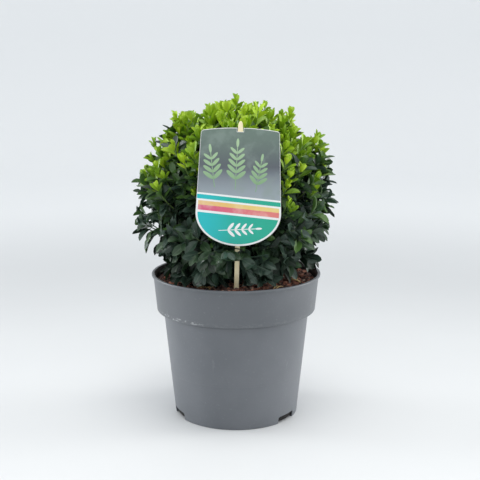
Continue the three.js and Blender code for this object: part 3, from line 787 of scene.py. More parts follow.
def inner_radius(z):
    radii, heights = zip(*reversed(pot_inside()))
    return float(np.interp(z, heights, radii))


def drain_cutters():
    """A block for each drain, with rounded corners where it cuts through the wall."""
    bm = bmesh.new()
    size = Matrix.Diagonal((DRAIN_SLOT["depth"], DRAIN_SLOT["width"], 2 * DRAIN_SLOT["height"], 1))
    place = Matrix.Translation((BASE_RADIUS + 2 - DRAIN_SLOT["depth"] / 2, 0, 0))
    bmesh.ops.create_cube(bm, size=1, matrix=place @ size)
    through, corner = edges_along(bm, 0, 1), DRAIN_SLOT["corner"]
    bmesh.ops.bevel(bm, geom=through, offset=corner, affect="EDGES", segments=4, profile=0.5, material=-1)
    bm.transform(turned(DRAIN_SLOT["first_angle"], "Z"))
    block = list(bm.verts) + list(bm.edges) + list(bm.faces)
    others = DRAIN_SLOTS - 1
    turn = {"axis": (0, 0, 1), "cent": (0, 0, 0), "angle": 2 * math.pi * others / DRAIN_SLOTS}
    bmesh.ops.spin(bm, geom=block, steps=others, use_duplicate=True, **turn)
    return mesh_of(bm, "drain_cutters")


def cut_away(mesh, cutter):
    """The mesh with the cutter's space taken out of it."""
    solid = add_object("cut solid", mesh)
    tool = add_object("cutter", cutter)
    cut = solid.modifiers.new("cut", "BOOLEAN")
    cut.operation = "DIFFERENCE"
    cut.solver = "EXACT"
    cut.object = tool
    graph = bpy.context.evaluated_depsgraph_get()
    result = bpy.data.meshes.new_from_object(solid.evaluated_get(graph))
    for piece in (solid, tool):
        bpy.data.objects.remove(piece)
    return result


def make_pot():
    """The pot, its wall under the rim and its floor dusted with soil and painted with shade: its profile's
    last points.
    """
    bm = spun([(0, 0), *pot_outside(), *pot_inside(), (0, FLOOR)], POT_STEPS, dusty_and_shaded=5)
    pot = cut_away(mesh_of(bm, "pot"), drain_cutters())
    smooth(pot, 30)
    finish_piece("nursery_pot", pot, moulded_plastic(), ["pot"])


# The potting mix

def soil_height(radius):
    share = (radius - SOIL_FLAT_RADIUS) / (RIM_RADIUS - WALL - SOIL_FLAT_RADIUS)
    return SOIL_TOP_Z + (SOIL_EDGE_Z - SOIL_TOP_Z) * min(1, max(0, share)) ** 2


def ridge_height(x, y):
    """How far the mix is heaped up inside the front of the rim, before the splint."""
    across = (x - RIDGE["place"][0]) / RIDGE["across"]
    along = (y - RIDGE["place"][1]) / RIDGE["along"]
    return RIDGE["height"] * math.exp(-across ** 2 - along ** 2)


def make_soil():
    gap = CLEAR + 0.2
    wall = [(radius - gap, z + CLEAR) for radius, z in reversed(pot_inside()[-3:])]
    edge_radius = inner_radius(SOIL_EDGE_Z) - gap
    wall.append((edge_radius, SOIL_EDGE_Z - 1.2))
    mound = [(radius, soil_height(radius)) for radius in np.linspace(edge_radius - 1, 1.5, 44)]
    bm = spun([(0, FLOOR + CLEAR), *wall, *mound, (0, SOIL_TOP_Z)], 120)
    for vert in bm.verts:
        if vert.co.z > SOIL_EDGE_Z - 0.5:
            lumps = SOIL_LUMPS * noise.fractal(vert.co * 0.11, 1.0, 2.0, 4)
            crumbs = SOIL_CRUMBS * noise.noise(vert.co * 0.55)
            vert.co.z += lumps + crumbs - SOIL_CRUMBS + ridge_height(vert.co.x, vert.co.y)
    soil = mesh_of(bm)
    smooth(soil)
    finish_piece("potting_mix_bed", soil, damp_mix(), ["potting_mix"])


def chip_shape(random):
    """A broken flake of bark: the hull of a few stray points."""
    bm = bmesh.new()
    for _ in range(10):
        bm.verts.new([random.uniform(-0.5, 0.5) for _ in range(3)])
    hull = bmesh.ops.convex_hull(bm, input=bm.verts)
    loose = [item for item in hull["geom_interior"] if isinstance(item, bmesh.types.BMVert)]
    bmesh.ops.delete(bm, geom=loose, context="VERTS")
    bmesh.ops.recalc_face_normals(bm, faces=bm.faces)
    return mesh_of(bm)


def laid(template, matrix, place):
    """The corners of a copy of a template, turned and sized by a matrix and moved to its place."""
    return corners_of(template) @ np.array(matrix).T + place


def is_chip_free(x, y, half_length):
    """Whether a chip lies clear of the pot's wall, the trunk and the splint."""
    radius = math.hypot(x, y)
    if not TRUNK["foot_radius"] + half_length < radius < inner_radius(SOIL_EDGE_Z) - 1.5 - half_length:
        return False
    beside_splint = abs(x - LABEL_FOOT.x) > SPLINT["width"] / 2 + half_length
    return beside_splint or abs(y - LABEL_FOOT.y - 1) > 2 + half_length


def scattered_chips(name, count, lengths, random):
    """Flakes that lie nearly flat on the mix, of one kind."""
    meshes = []
    for _ in range(CHIP_SHAPES):
        template = chip_shape(random)
        copies = []
        while len(copies) < count // CHIP_SHAPES:
            radius = CHIP_REACH * math.sqrt(random.uniform(0, 1))
            angle = random.uniform(0, 2 * math.pi)
            x, y = radius * math.cos(angle), radius * math.sin(angle)
            length = random.uniform(*lengths)
            if not is_chip_free(x, y, length / 2):
                continue
            thickness = length * random.uniform(*CHIP_THICKNESS)
            turn = Matrix.Rotation(random.uniform(0, 2 * math.pi), 3, "Z")
            tip = Matrix.Rotation(random.normal(0, CHIP_TIP), 3, "X")
            lean = Matrix.Rotation(random.normal(0, CHIP_LEAN), 3, "Y")
            size = Matrix.Diagonal((length, length * random.uniform(*CHIP_WIDTH), thickness))
            z = soil_height(radius) + ridge_height(x, y) + 0.2 * thickness
            copies.append(laid(template, turn @ tip @ lean @ size, (x, y, z)))
        meshes.append(joined_copies(name, template, np.array(copies)))
    return merged(name, meshes)


def heaped_chips(random):
    """A few large flakes heaped before the foot of the splint."""
    template = chip_shape(random)
    copies = []
    for x, y, length in HEAPED_CHIPS:
        turn = Matrix.Rotation(random.uniform(-0.5, 0.5), 3, "Z")
        size = Matrix.Diagonal((length, 0.55 * length, 0.5 * length))
        z = soil_height(math.hypot(x, y)) + ridge_height(x, y) + 0.15 * length
        copies.append(laid(template, turn @ size, (x, y, z)))
    return joined_copies("heaped_chips", template, np.array(copies))


def straw_shape():
    """A thin strip of straw, bowed and drawn in along its length."""
    bm = bmesh.new()
    size = Matrix.Diagonal((STRAW["length"], STRAW["width"], STRAW["thickness"], 1))
    bmesh.ops.create_cube(bm, size=1, matrix=size)
    bmesh.ops.subdivide_edges(bm, edges=edges_along(bm, 0, 1), cuts=6, use_grid_fill=True)
    for vert in bm.verts:
        vert.co.z -= STRAW["bow"] * vert.co.x ** 2
        vert.co.y *= 1 - STRAW["taper"] * vert.co.x ** 2
    return mesh_of(bm)


def straw_bits(random):
    """Two bits of straw at each of their places."""
    template = straw_shape()
    copies = []
    for x, y in [place for place in STRAW_PLACES for _ in range(2)]:
        turn = Matrix.Rotation(random.uniform(0, math.pi), 3, "Z")
        tip = Matrix.Rotation(random.normal(0, 0.3), 3, "X")
        place = (x + random.normal(0, 2), y + random.normal(0, 2))
        lift = soil_height(math.hypot(*place)) + STRAW["lift"]
        copies.append(laid(template, random.uniform(0.6, 1.0) * turn @ tip, (*place, lift)))
    return joined_copies("straw", template, np.array(copies))


def make_mix_top():
    """The chips and the straw on the mix."""
    random = np.random.RandomState(SEED)
    barks = {}
    for kind, (count, lengths, deep, light) in CHIPS.items():
        barks[kind] = chip_bark(f"{kind} bark chip", deep, light)
        chips = scattered_chips(f"{kind}_chips", count, lengths, random)
        chips.shade_flat()
        finish_piece(f"{kind}_bark_chips", chips, barks[kind])
    heap = heaped_chips(random)
    heap.shade_flat()
    finish_piece("heaped_bark_chips", heap, barks["dark"])
    finish_piece("straw_bits", straw_bits(random), fibrous("dry straw"))


# The limbs

def tube_shape(sides, rings):
    """A closed tube of radius 1 up the Z axis from 0 to 1, in rings."""
    bm = bmesh.new()
    size = {"segments": sides, "radius1": 1, "radius2": 1, "depth": 1}
    bmesh.ops.create_cone(bm, cap_ends=True, matrix=Matrix.Translation((0, 0, 0.5)), **size)
    bmesh.ops.subdivide_edges(bm, edges=edges_along(bm, 2, 0.5), cuts=rings - 1, use_grid_fill=True)
    return mesh_of(bm)


def point_on(curve, t):
    """The place on a curve of four points at a share of its length."""
    a, b, c, d = curve
    return a * (1 - t) ** 3 + b * 3 * t * (1 - t) ** 2 + c * 3 * t * t * (1 - t) + d * t ** 3


def way_on(curve, t):
    """The way the curve runs there, of no set length."""
    a, b, c, d = curve
    return (b - a) * (1 - t) ** 2 + (c - b) * 2 * t * (1 - t) + (d - c) * t * t


def unit(vectors):
    return vectors / np.linalg.norm(vectors, axis=-1, keepdims=True)


def tubes(name, curves, radii, sides, rings):
    """One mesh of a tube along each curve, from its radius at the foot to its radius at the tip."""
    template = tube_shape(sides, rings)
    x, y, t = (column[None, :, None] for column in corners_of(template).T)
    curve = np.array([[tuple(point) for point in points] for points in zip(*curves)])[:, :, None]
    ahead = unit(way_on(curve, t))
    level = np.abs(unit(curve[3] - curve[0])[..., 2:]) < 0.8
    side = unit(np.cross(np.where(level, (0.0, 0.0, 1.0), (1.0, 0.0, 0.0)), ahead))
    radius = radii[0] + (radii[1] - radii[0]) * t
    corners = point_on(curve, t) + radius * (x * side + y * np.cross(ahead, side))
    return joined_copies(name, template, corners)


def trunk_centre(t):
    """The trunk's middle line, from its foot at 0 to its tip at 1: a smooth curve through its course."""
    x, y, heights = zip(*TRUNK_COURSE)
    z = heights[0] + t * (heights[-1] - heights[0])
    return Vector((np.polyval(np.polyfit(heights, x, 3), z), np.polyval(np.polyfit(heights, y, 3), z), z))


def trunk_radius(t):
    flare = max(0, 1 - t * (TRUNK["tip_z"] - SOIL_TOP_Z) / TRUNK["flare_height"])
    straight = TRUNK["radius"] + (TRUNK["tip_radius"] - TRUNK["radius"]) * t
    return straight + (TRUNK["foot_radius"] - TRUNK["radius"]) * flare ** 2


def mass_direction(ring, index):
    """The way a mass grows from the fork."""
    elevation = math.radians(BOUGH_ELEVATION[ring])
    azimuth = math.radians(RING_TURN[ring] + index * 360 / RING_MASSES)
    level = math.cos(elevation)
    return Vector((level * math.cos(azimuth), level * math.sin(azimuth), math.sin(elevation)))


def bough_curve(ring, index):
    """A bough leaves the trunk nearly level, a little above the one before, and bends to its mass."""
    t = BOUGH_START[ring] + BOUGH["spacing"] * index
    direction = mass_direction(ring, index)
    out = Vector((direction.x, direction.y, 0)).normalized()
    start = trunk_centre(t)
    elbow = start + out * (trunk_radius(t) + 0.3 * BOUGH["reach"])
    tip = FORK + direction * BOUGH["reach"]
    return [start, elbow, tip - direction * 0.45 * BOUGH["reach"], tip]


def mass_stems():
    """The line of each mass's stem: the lower ring, the upper ring, then the top."""
    tips = [bough_curve(*mass)[-1] for mass in RINGS]
    stems = [(tip, tip + mass_direction(*mass) * STEM["bough_length"]) for tip, mass in zip(tips, RINGS)]
    top = trunk_centre(1)
    ahead = (top - trunk_centre(0.98)).normalized()
    return [*stems, (top, top + ahead * STEM["trunk_length"])]


def make_trunk(material):
    """The main stem, with long ridges and cracks of bark in its surface."""
    template = tube_shape(18, 48)
    corners = []
    for x, y, t in corners_of(template):
        centre, outward = trunk_centre(t), Vector((x, y, 0)).normalized()
        radius = trunk_radius(t)
        for across, along, relief in BARK_RELIEF:
            radius += trunk_radius(t) * relief * noise.noise(outward * across + UP * along * centre.z)
        corners.append(centre + outward * radius)
    trunk = joined_copies("trunk", template, np.array([corners]))
    smooth(trunk)
    finish_piece("bark_trunk", trunk, material, ["trunk"])


def make_boughs(material):
    """The boughs, one for each mass of the two rings, with knots in their bark."""
    radii = BOUGH["foot_radius"], BOUGH["tip_radius"]
    boughs = tubes("boughs", [bough_curve(*mass) for mass in RINGS], radii, 12, 20)
    for vert in boughs.vertices:
        knots = noise.noise(vert.co * 0.21) + 0.5 * noise.noise(vert.co * 0.8)
        grain = noise.noise(vert.co * 0.6), noise.noise(vert.co * 0.6 + UP * 9)
        vert.co += Vector((*grain, knots)) * KNOT_RELIEF
    smooth(boughs)
    nodes = [f"{ring}_bough_{index + 1}" for ring, index in RINGS]
    finish_piece("bark_boughs", boughs, material, nodes)


# The crown's rule, as in the part's source

def crown_outline(steps):
    """Points down the crown's outline: fuller than a ball, most so below its waist."""
    points = []
    for i in range(steps + 1):
        upper = i / steps < 0.5
        fullness = CROWN_TOP_FULLNESS if upper else CROWN_FOOT_FULLNESS
        end = CROWN_TOP_Z if upper else CROWN_FOOT_Z
        turn = math.pi * i / steps
        radius = CROWN_RADIUS * abs(math.sin(turn)) ** (2 / fullness)
        rise = abs(math.cos(turn)) ** (2 / fullness)
        points.append((0 if i % steps == 0 else radius, CROWN_WAIST_Z + (end - CROWN_WAIST_Z) * rise))
    return np.array(points)


def crown_places(count):
    """Places spread evenly over the crown's outline, a golden angle apart."""
    outline = crown_outline(200)
    radius, z = outline.T
    strips = (radius[1:] + radius[:-1]) * np.hypot(np.diff(radius), np.diff(z))
    areas = np.concatenate(([0], np.cumsum(strips)))
    wanted = (np.arange(count) + 0.5) / count * areas[-1]
    angle = np.arange(count) * math.pi * (3 - math.sqrt(5))
    out, height = np.interp(wanted, areas, radius), np.interp(wanted, areas, z)
    return [Vector(place) for place in zip(FORK.x + out * np.cos(angle), out * np.sin(angle), height)]


def mass_of(place):
    """The number of the mass whose space holds a place."""
    ray = place - FORK
    elevation = math.degrees(math.atan2(ray.z, math.hypot(ray.x, ray.y)))
    azimuth = math.degrees(math.atan2(ray.y, ray.x))
    width = 360 / RING_MASSES
    if elevation < LOWER_TOP_ELEVATION:
        return round((azimuth - RING_TURN["lower"]) / width) % RING_MASSES
    if elevation < UPPER_TOP_ELEVATION:
        return RING_MASSES + round((azimuth - RING_TURN["upper"]) / width) % RING_MASSES
    return 2 * RING_MASSES


# The label's own frame, which starts at its foot and leans with it, and the depth of the splint's middle
LABEL_FRAME = Matrix.Translation(LABEL_FOOT) @ turned(LABEL_LEAN, "X") @ turned(LABEL_ROLL, "Y")
TO_LABEL = LABEL_FRAME.inverted()
SPLINT_MIDDLE = CARD["thickness"] + CLEAR + SPLINT["thickness"] / 2


def bare_height(place):
    """How high the lowest leaves hang over the mix: most at the right, where it shows."""
    azimuth = math.atan2(place.y, place.x)
    shown = 0.5 + 0.5 * math.cos(azimuth - math.radians(BARE_MIX["azimuth"]))
    share = shown ** BARE_MIX["narrowness"]
    return BARE_MIX["least"] + (BARE_MIX["most"] - BARE_MIX["least"]) * share


def is_sky(place):
    """Whether a place lies before or behind a gap in the crown, as the photograph is seen."""
    share = -CAMERA_PLACE.y / (place.y - CAMERA_PLACE.y)
    x = CAMERA_PLACE.x + (place.x - CAMERA_PLACE.x) * share
    z = CAMERA_PLACE.z + (place.z - CAMERA_PLACE.z) * share
    return any((x - gap_x) ** 2 + (z - gap_z) ** 2 < radius ** 2 for gap_x, gap_z, radius in SKY_GAPS)


def is_reserved(place):
    """Whether a place belongs to the label and the air before it, or to the pot and its mix."""
    x, y, z = TO_LABEL @ place
    low, high = CARD["foot"] - ROOM["card"], CARD["foot"] + CARD["height"] + ROOM["card"]
    beside = abs(x) > CARD["width"] / 2 + ROOM["card"]
    if not beside and low < z < high and -ROOM["card_front"] < y < CARD["thickness"] + ROOM["card"]:
        return True
    near_splint = abs(y - SPLINT_MIDDLE) < SPLINT["thickness"] / 2 + ROOM["splint"]
    if abs(x) < SPLINT["width"] / 2 + ROOM["splint"] and near_splint:
        return True
    if abs(x) < ROOM["splint_side"] and y < SPLINT_MIDDLE and z < ROOM["bare_splint"]:
        return True
    radius = math.hypot(place.x, place.y)
    if radius > RIM_RADIUS - ROOM["rim"]:
        return radius < RIM_RADIUS + ROOM["pot"] and place.z < POT_HEIGHT + ROOM["pot"]
    return place.z < soil_height(radius) + ROOM["pot"] + bare_height(place)


# The leaves

def leaf_outline(leaf, t):
    """A leaf's half width at a share of its length: a thin stalk, then its blade."""
    blade = max(0.0, (t - STALK_SHARE) / (1 - STALK_SHARE))
    peak = leaf["swell"] / (leaf["swell"] + leaf["taper"])
    most = peak ** leaf["swell"] * (1 - peak) ** leaf["taper"]
    full = blade ** leaf["swell"] * (1 - blade) ** leaf["taper"] / most
    return max(leaf["width"] / 2 * full, STALK_HALF_WIDTH if t < 2 * STALK_SHARE else 0.0)


def leaf_shape(leaf, cup, bow, twist):
    """A thin closed blade: a grid drawn in to the outline, with a copy under it that shares its rim."""
    bm = bmesh.new()
    bm.loops.layers.uv.new("leaf")
    steps = len(LEAF_STATIONS) - 1
    bmesh.ops.create_grid(bm, x_segments=4, y_segments=steps, size=0.5, calc_uvs=True)
    rim = set()
    for vert in bm.verts:
        side = 2 * vert.co.x
        t = LEAF_STATIONS[round((vert.co.y + 0.5) * steps)]
        half = leaf_outline(leaf, t)
        blade = Vector((side * half, 0, cup * half * abs(side) ** 1.2))
        vert.co = turned(twist * t, "Y") @ blade + Vector((0, t * leaf["length"], -bow * t * t))
        if abs(side) > 0.99 or t in (0, 1):
            rim.add(vert)
    under = bmesh.ops.duplicate(bm, geom=list(bm.faces))
    lower_faces = [item for item in under["geom"] if isinstance(item, bmesh.types.BMFace)]
    bmesh.ops.reverse_faces(bm, faces=lower_faces)
    lower_verts = {vert for face in lower_faces for vert in face.verts}
    for upper, lower in under["vert_map"].items():
        if lower in lower_verts and upper not in rim:
            lower.co.z -= leaf["thickness"]
    bmesh.ops.remove_doubles(bm, verts=bm.verts, dist=0.002)
    return mesh_of(bm)


def rim_corners(mesh):
    """Which corners of a leaf lie on its rim, where its two faces meet."""
    bm = bmesh.new()
    bm.from_mesh(mesh)
    rim = [any(edge.calc_face_angle(0) > SHARP_ANGLE for edge in vert.link_edges) for vert in bm.verts]
    bm.free()
    return np.array(rim)


# A leaf's place in the crown is kept as (foot, along, upward, size, width share, tone).
def leaves_mesh(name, kind, leaves, random):
    """One mesh of a shade's leaves of one kind, dealt out over the forms of the kind."""
    dealt = random.randint(len(kind["forms"]), size=len(leaves))
    meshes = []
    for number, form in enumerate(kind["forms"]):
        template = leaf_shape(kind, *form)
        chosen = [leaf for leaf, which in zip(leaves, dealt) if which == number]
        if not chosen:
            continue
        foot, along, upward = (np.array([tuple(leaf[i]) for leaf in chosen])[:, None] for i in range(3))
        size, width, tone = (np.array([leaf[i] for leaf in chosen])[:, None, None] for i in range(3, 6))
        x, y, z = (column[None, :, None] for column in corners_of(template).T)
        corners = foot + size * (x * width * np.cross(along, upward) + y * along + z * upward)
        uv = values_of(template.uv_layers[0].uv, "vector", 2)
        meshes.append(joined_copies(name, template, corners, uv, tone, rim_corners(template)))
    return merged(name, meshes)


def is_leaf_free(foot, along, upward, size, kind):
    """Whether a leaf keeps clear of the other pieces and of the gaps, tested at a few places on it."""
    across = along.cross(upward)
    length, half = kind["length"] * size, kind["width"] * size / 2
    places = [foot + along * length * share for share in (0.35, 0.7, 1.0)]
    places += [foot + along * length * 0.6 + across * half * side for side in (-1, 1)]
    return not any(is_reserved(place) or is_sky(place) for place in places)


def turned_leaf(axis, outward, spread, droop):
    """The way a leaf points and the way its face looks, spread from the shoot's axis."""
    along = axis * math.cos(spread) + outward * math.sin(spread)
    along = (along - UP * droop).normalized()
    upward = axis - along * axis.dot(along)
    if upward.length < 0.2:
        upward = UP - along * UP.dot(along)
    return along, upward.normalized()


def pair_of_leaves(foot, axis, angle, spread, size, width, droop, kind, shoot_tone, random):
    """Two opposite leaves. One that would touch another piece is turned about the shoot, or left out."""
    side = UP.cross(axis).normalized()
    made = []
    for half in (0, 180):
        opened = math.radians(spread * random.uniform(0.75, 1.25))
        scale = size * random.uniform(0.86, 1.14)
        for shift in LEAF_TURNS:
            turn = math.radians(angle + half + shift)
            outward = Matrix.Rotation(turn, 3, axis) @ side
            along, upward = turned_leaf(axis, outward, opened, droop)
            if is_leaf_free(foot, along, upward, scale, kind):
                tone = 0.5 * shoot_tone + 0.5 * random.uniform(0, 1)
                made.append((foot, along, upward, scale, width * random.uniform(0.85, 1.12), tone))
                break
    return made


# The branches and the shoots

def grow_branches(stems):
    """A branch from its mass's stem towards each place of the source's shoots."""
    branches = []
    for place in crown_places(BRANCHES):
        stem_foot, stem_tip = stems[mass_of(place)]
        end = FORK + (place - FORK) * BRANCH_END
        if is_reserved(end) or place.z < LOWEST_BRANCH_Z:
            continue
        axis = (stem_tip - stem_foot).normalized()
        level = (end - stem_foot).dot(axis) / (stem_tip - stem_foot).length
        start = stem_foot.lerp(stem_tip, min(1.0, max(0.05, level - BRANCH_LEAD)))
        ray = (place - FORK).normalized()
        length = (end - start).length
        knee = start + (axis + ray) * BRANCH_BEND * length
        branches.append([start, knee, end - ray * 0.35 * length, end])
    return branches


def dented(place):
    """A place on the outline drawn in to the fork where the crown falls short, and by its unevenness."""
    ray = place - FORK
    azimuth = math.degrees(math.atan2(ray.y, ray.x))
    depth = UNEVENNESS * noise.noise(place * 0.03)
    for middle, height, wide, tall, most in DENTS:
        off = (azimuth - middle + 180) % 360 - 180
        depth += most * math.exp(-((off / wide) ** 2) - ((place.z - height) / tall) ** 2)
    return place - ray.normalized() * depth


def shoot_end(place, inward):
    """Where a shoot ends: a little inside the crown's outline, and drawn back from the other pieces."""
    ray = place - FORK
    share = 1 - inward / ray.length
    back = SHOOT_DRAWN_BACK
    while share > back["least"] and is_reserved(FORK + ray * (share + back["clear"])):
        share -= back["step"]
    return FORK + ray * share


def random_way(random):
    return Vector(random.normal(0, 1, 3)).normalized()


def shoot_curve(end, ray, lift, branch_ends, random):
    """A shoot's curve from the nearest branch: it leaves along the ray and turns up to the light."""
    tip_way = (ray + UP * lift + random_way(random) * SHOOT_WANDER).normalized()
    knee = end - (tip_way + ray) * 0.5 * SHOOT_LENGTH
    foot = min(branch_ends, key=lambda branch_end: (branch_end - knee).length)
    return [foot, knee - ray * 6, end - tip_way * 0.5 * SHOOT_LENGTH, end]


def young_share(place):
    """The share of bright new growth among the shoots at a place: more towards the top and left."""
    height = place.z - YOUNG_LEFTWARD * place.x / CROWN_RADIUS
    share = min(1, max(0, (height - YOUNG_FROM_Z) / (YOUNG_FULL_Z - YOUNG_FROM_Z)))
    low, high = YOUNG_SHARE["low"], YOUNG_SHARE["high"]
    return low + (high - low) * share ** YOUNG_SHARE["steepness"]


def shoot_plans(random):
    """Each shoot's kind, its place on the outline and how far back from it the shoot ends."""
    plans = []
    for place in crown_places(SHOOTS):
        place = dented(place + Vector(random.uniform(-0.5, 0.5, 3)) * SHOOT_JITTER)
        if noise.noise(place * 0.045 + UP * 7) > HOLLOW_FROM:
            continue
        kind = "young" if random.uniform(0, 1) < young_share(place) else "old"
        if place.z > LEADER_FROM_Z and kind == "young" and random.uniform(0, 1) < LEADER_SHARE:
            kind = "leader"
        if place.z > LOWEST_SHOOT_Z:
            plans.append((kind, place, random.uniform(*TIP_BACK[kind])))
    for tips, kind in ((LEADERS, "leader"), (BRIGHT_TUFTS, "young"), (DARK_TUFTS, "old")):
        leaf = OLD_LEAF if kind == "old" else YOUNG_LEAF
        plans += [(kind, Vector(tip), 0.6 * leaf["length"]) for tip in tips]
    return plans


# The crown, grown from these

def shade_of_young(back, height, low, random):
    """The shade of a leaf on a young shoot: brightest at its tip, and for longer near the crown's top."""
    bright_length = max(FADE["least"], FADE["length"] + FADE["growth"] * (height - FADE["from_z"]))
    jitter = random.uniform(-FADE["jitter"], FADE["jitter"])
    fade = back / bright_length + (YOUNG_FULL_Z - height) / FADE["drop"] + jitter
    for shade, end in FADE_ENDS.items():
        if fade < end and (shade != "middle" or height > MIDDLE_FROM_Z):
            return shade
    return shade_of_old(back, low, random)


def shade_of_old(back, low, random):
    """The shade of a leaf on an old shoot: more deep ones towards the foot of the crown, as painted shade.
    """
    pick = random.uniform(0, 1)
    if back < OLD_SHARES["middle_within"] and pick < OLD_SHARES["middle"] * (1 - low) ** 4:
        return "middle"
    # More deep leaves lower down: painted shade at the crown's foot.
    deep_and_shaded_share = OLD_SHARES["deep"] + OLD_SHARES["low_painted_shade"] * low
    if pick > 1 - deep_and_shaded_share:
        return "deep"
    return "blue" if pick > OLD_SHARES["blue_from"] - deep_and_shaded_share else "dark"


def grow_leaves(kind, curve, leaves, random):
    """The pairs of leaves down one shoot, each pair square to the last, added by shade."""
    young = kind != "old"
    height = curve[-1].z
    turn = random.uniform(0, 180)
    low = min(1.0, max(0.0, (LOW_FROM_Z - height) / LOW_DEPTH))
    # Lower on the crown the tone is darker: painted shade.
    tone = random.uniform(0, 1) * (1 - LOW_LEAF_PAINTED_SHADE * low)
    droop = 0.0 if young else random.uniform(0.2, 1.1) * low + random.uniform(0, 0.15)
    width = 1 if young else 1 - LOW_LEAF_SLENDERNESS * low
    for order, (back, spread, size) in enumerate(LEAF_PAIRS[kind]):
        t = 1 - back / SHOOT_LENGTH * LEAF_SPACING
        foot, axis = point_on(curve, t), way_on(curve, t).normalized()
        short = young and back < SHORT_LEAVES_WITHIN
        leaf = YOUNG_LEAF if short else OLD_LEAF
        scale = size * random.uniform(0.85, 1.1) if young else size * (1 + LOW_LEAF_GROWTH * low)
        angle = turn + order * 90
        pair = pair_of_leaves(foot, axis, angle, spread, scale, width, droop, leaf, tone, random)
        shade = shade_of_young(back, height, low, random) if young else shade_of_old(back, low, random)
        leaves[shade].extend((short, made) for made in pair)


def grow_inner_leaves(branch, leaves, random):
    """The pairs of leaves along a branch, inside the crown, all given the deep colour as painted shade."""
    turn = random.uniform(0, 180)
    spread, droop = INNER_PAIRS["spread"], INNER_PAIRS["droop"]
    for order in range(INNER_PAIRS["count"]):
        t = INNER_PAIRS["from"] + INNER_PAIRS["apart"] * order
        foot, axis = point_on(branch, t), way_on(branch, t).normalized()
        angle = turn + order * 90
        pair = pair_of_leaves(foot, axis, angle, spread, 1.0, 1.0, droop, OLD_LEAF, 0.5, random)
        leaves["deep"].extend((False, leaf) for leaf in pair)


def grow_crown():
    """All branches, shoots and leaves: the curves by kind of twig, and the leaves by shade."""
    random = np.random.RandomState(SEED)
    stems = mass_stems()
    branches = grow_branches(stems)
    branch_ends = [branch[-1] for branch in branches]
    shoots = {"young": [], "leader": [], "old": []}
    leaves = {shade: [] for shade in LEAF_SHADES}
    for kind, place, back in shoot_plans(random):
        end = shoot_end(place, back)
        if is_reserved(end):
            continue
        lift = random.uniform(*SHOOT_LIFT[kind]) * min(1.0, max(0.0, (place.z - LIFT_FROM_Z) / LIFT_DEPTH))
        curve = shoot_curve(end, (place - FORK).normalized(), lift, branch_ends, random)
        if any(is_reserved(point_on(curve, t)) for t in SHOOT_TESTED_AT):
            continue
        shoots[kind].append(curve)
        grow_leaves(kind, curve, leaves, random)
    for branch in branches:
        grow_inner_leaves(branch, leaves, random)
    curves = {
        "mass_stems": [[a, a.lerp(b, 1 / 3), a.lerp(b, 2 / 3), b] for a, b in stems],
        "woody_branches": branches,
        "old_shoots": shoots["old"],
        "young_shoots": shoots["young"] + shoots["leader"],
    }
    return curves, leaves


def make_crown():
    """What stands for the masses of foliage: the twigs, and the leaves in pieces by shade."""
    masses = [f"{ring}_foliage_{index + 1}" for ring, index in RINGS] + ["top_foliage"]
    curves, leaves = grow_crown()
    barks = {}
    for name, (radii, sides, rings, bark) in TWIGS.items():
        if bark not in barks:
            barks[bark] = fibrous(bark)
        twigs = tubes(name, curves[name], radii, sides, rings)
        finish_piece(name, twigs, barks[bark], masses)
    random = np.random.RandomState(SEED + 1)
    for shade, look in LEAF_SHADES.items():
        meshes = []
        for kind, is_short in ((YOUNG_LEAF, True), (OLD_LEAF, False)):
            chosen = [leaf for short, leaf in leaves[shade] if short == is_short]
            if chosen:
                meshes.append(leaves_mesh(shade, kind, chosen, random))
        skin = leaf_skin(f"{shade} leaf", *look)
        finish_piece(f"{shade}_leaves", merged(shade, meshes), skin, masses)


# The label

def card_outline():
    """The card's edge in its own frame: a round bowl, sides that draw in, an arch and a notch."""
    top = CARD["foot"] + CARD["height"]
    shoulder = top - CARD["arch"]
    bowl = CARD["foot"] + CARD["bowl"]
    side = CARD["top_width"] / 2
    notch = CARD["notch_width"] / 2
    corner = CARD["corner"]
    right = [
        *curve_points((side, shoulder - corner), (side, shoulder), (side - corner, shoulder), 5),
        *curve_points((side - corner, shoulder), (side / 2, top), (notch, top), 8)[1:],
        (notch, top - CARD["notch_depth"]),
    ]
    left = [(-x, z) for x, z in reversed(right)]
    turns = np.linspace(math.pi, 2 * math.pi, 33)
    foot = [(CARD["width"] / 2 * math.cos(turn), bowl + CARD["bowl"] * math.sin(turn)) for turn in turns]
    return right + left + foot


def facing_front(bm):
    """The flat faces turned to look to -Y."""
    bm.normal_update()
    for face in bm.faces:
        if face.normal.y > 0:
            face.normal_flip()
    return bm


def flat_face(outline):
    """An outline of (x, z) pairs as one flat face."""
    bm = bmesh.new()
    bm.faces.new([bm.verts.new((x, 0, z)) for x, z in outline])
    return facing_front(bm)


def thickened(bm, back, front):
    """Flat faces moved to a depth and given a thickness towards the front."""
    bmesh.ops.translate(bm, verts=bm.verts, vec=(0, back, 0))
    grown = bmesh.ops.extrude_face_region(bm, geom=list(bm.faces))
    moved = [item for item in grown["geom"] if isinstance(item, bmesh.types.BMVert)]
    bmesh.ops.translate(bm, verts=moved, vec=(0, front - back, 0))
    bmesh.ops.recalc_face_normals(bm, faces=bm.faces)
    return bm


def on_label(bm):
    """A shape in the label's frame as a mesh at its place on the plant."""
    bm.transform(LABEL_FRAME)
    return mesh_of(bm)


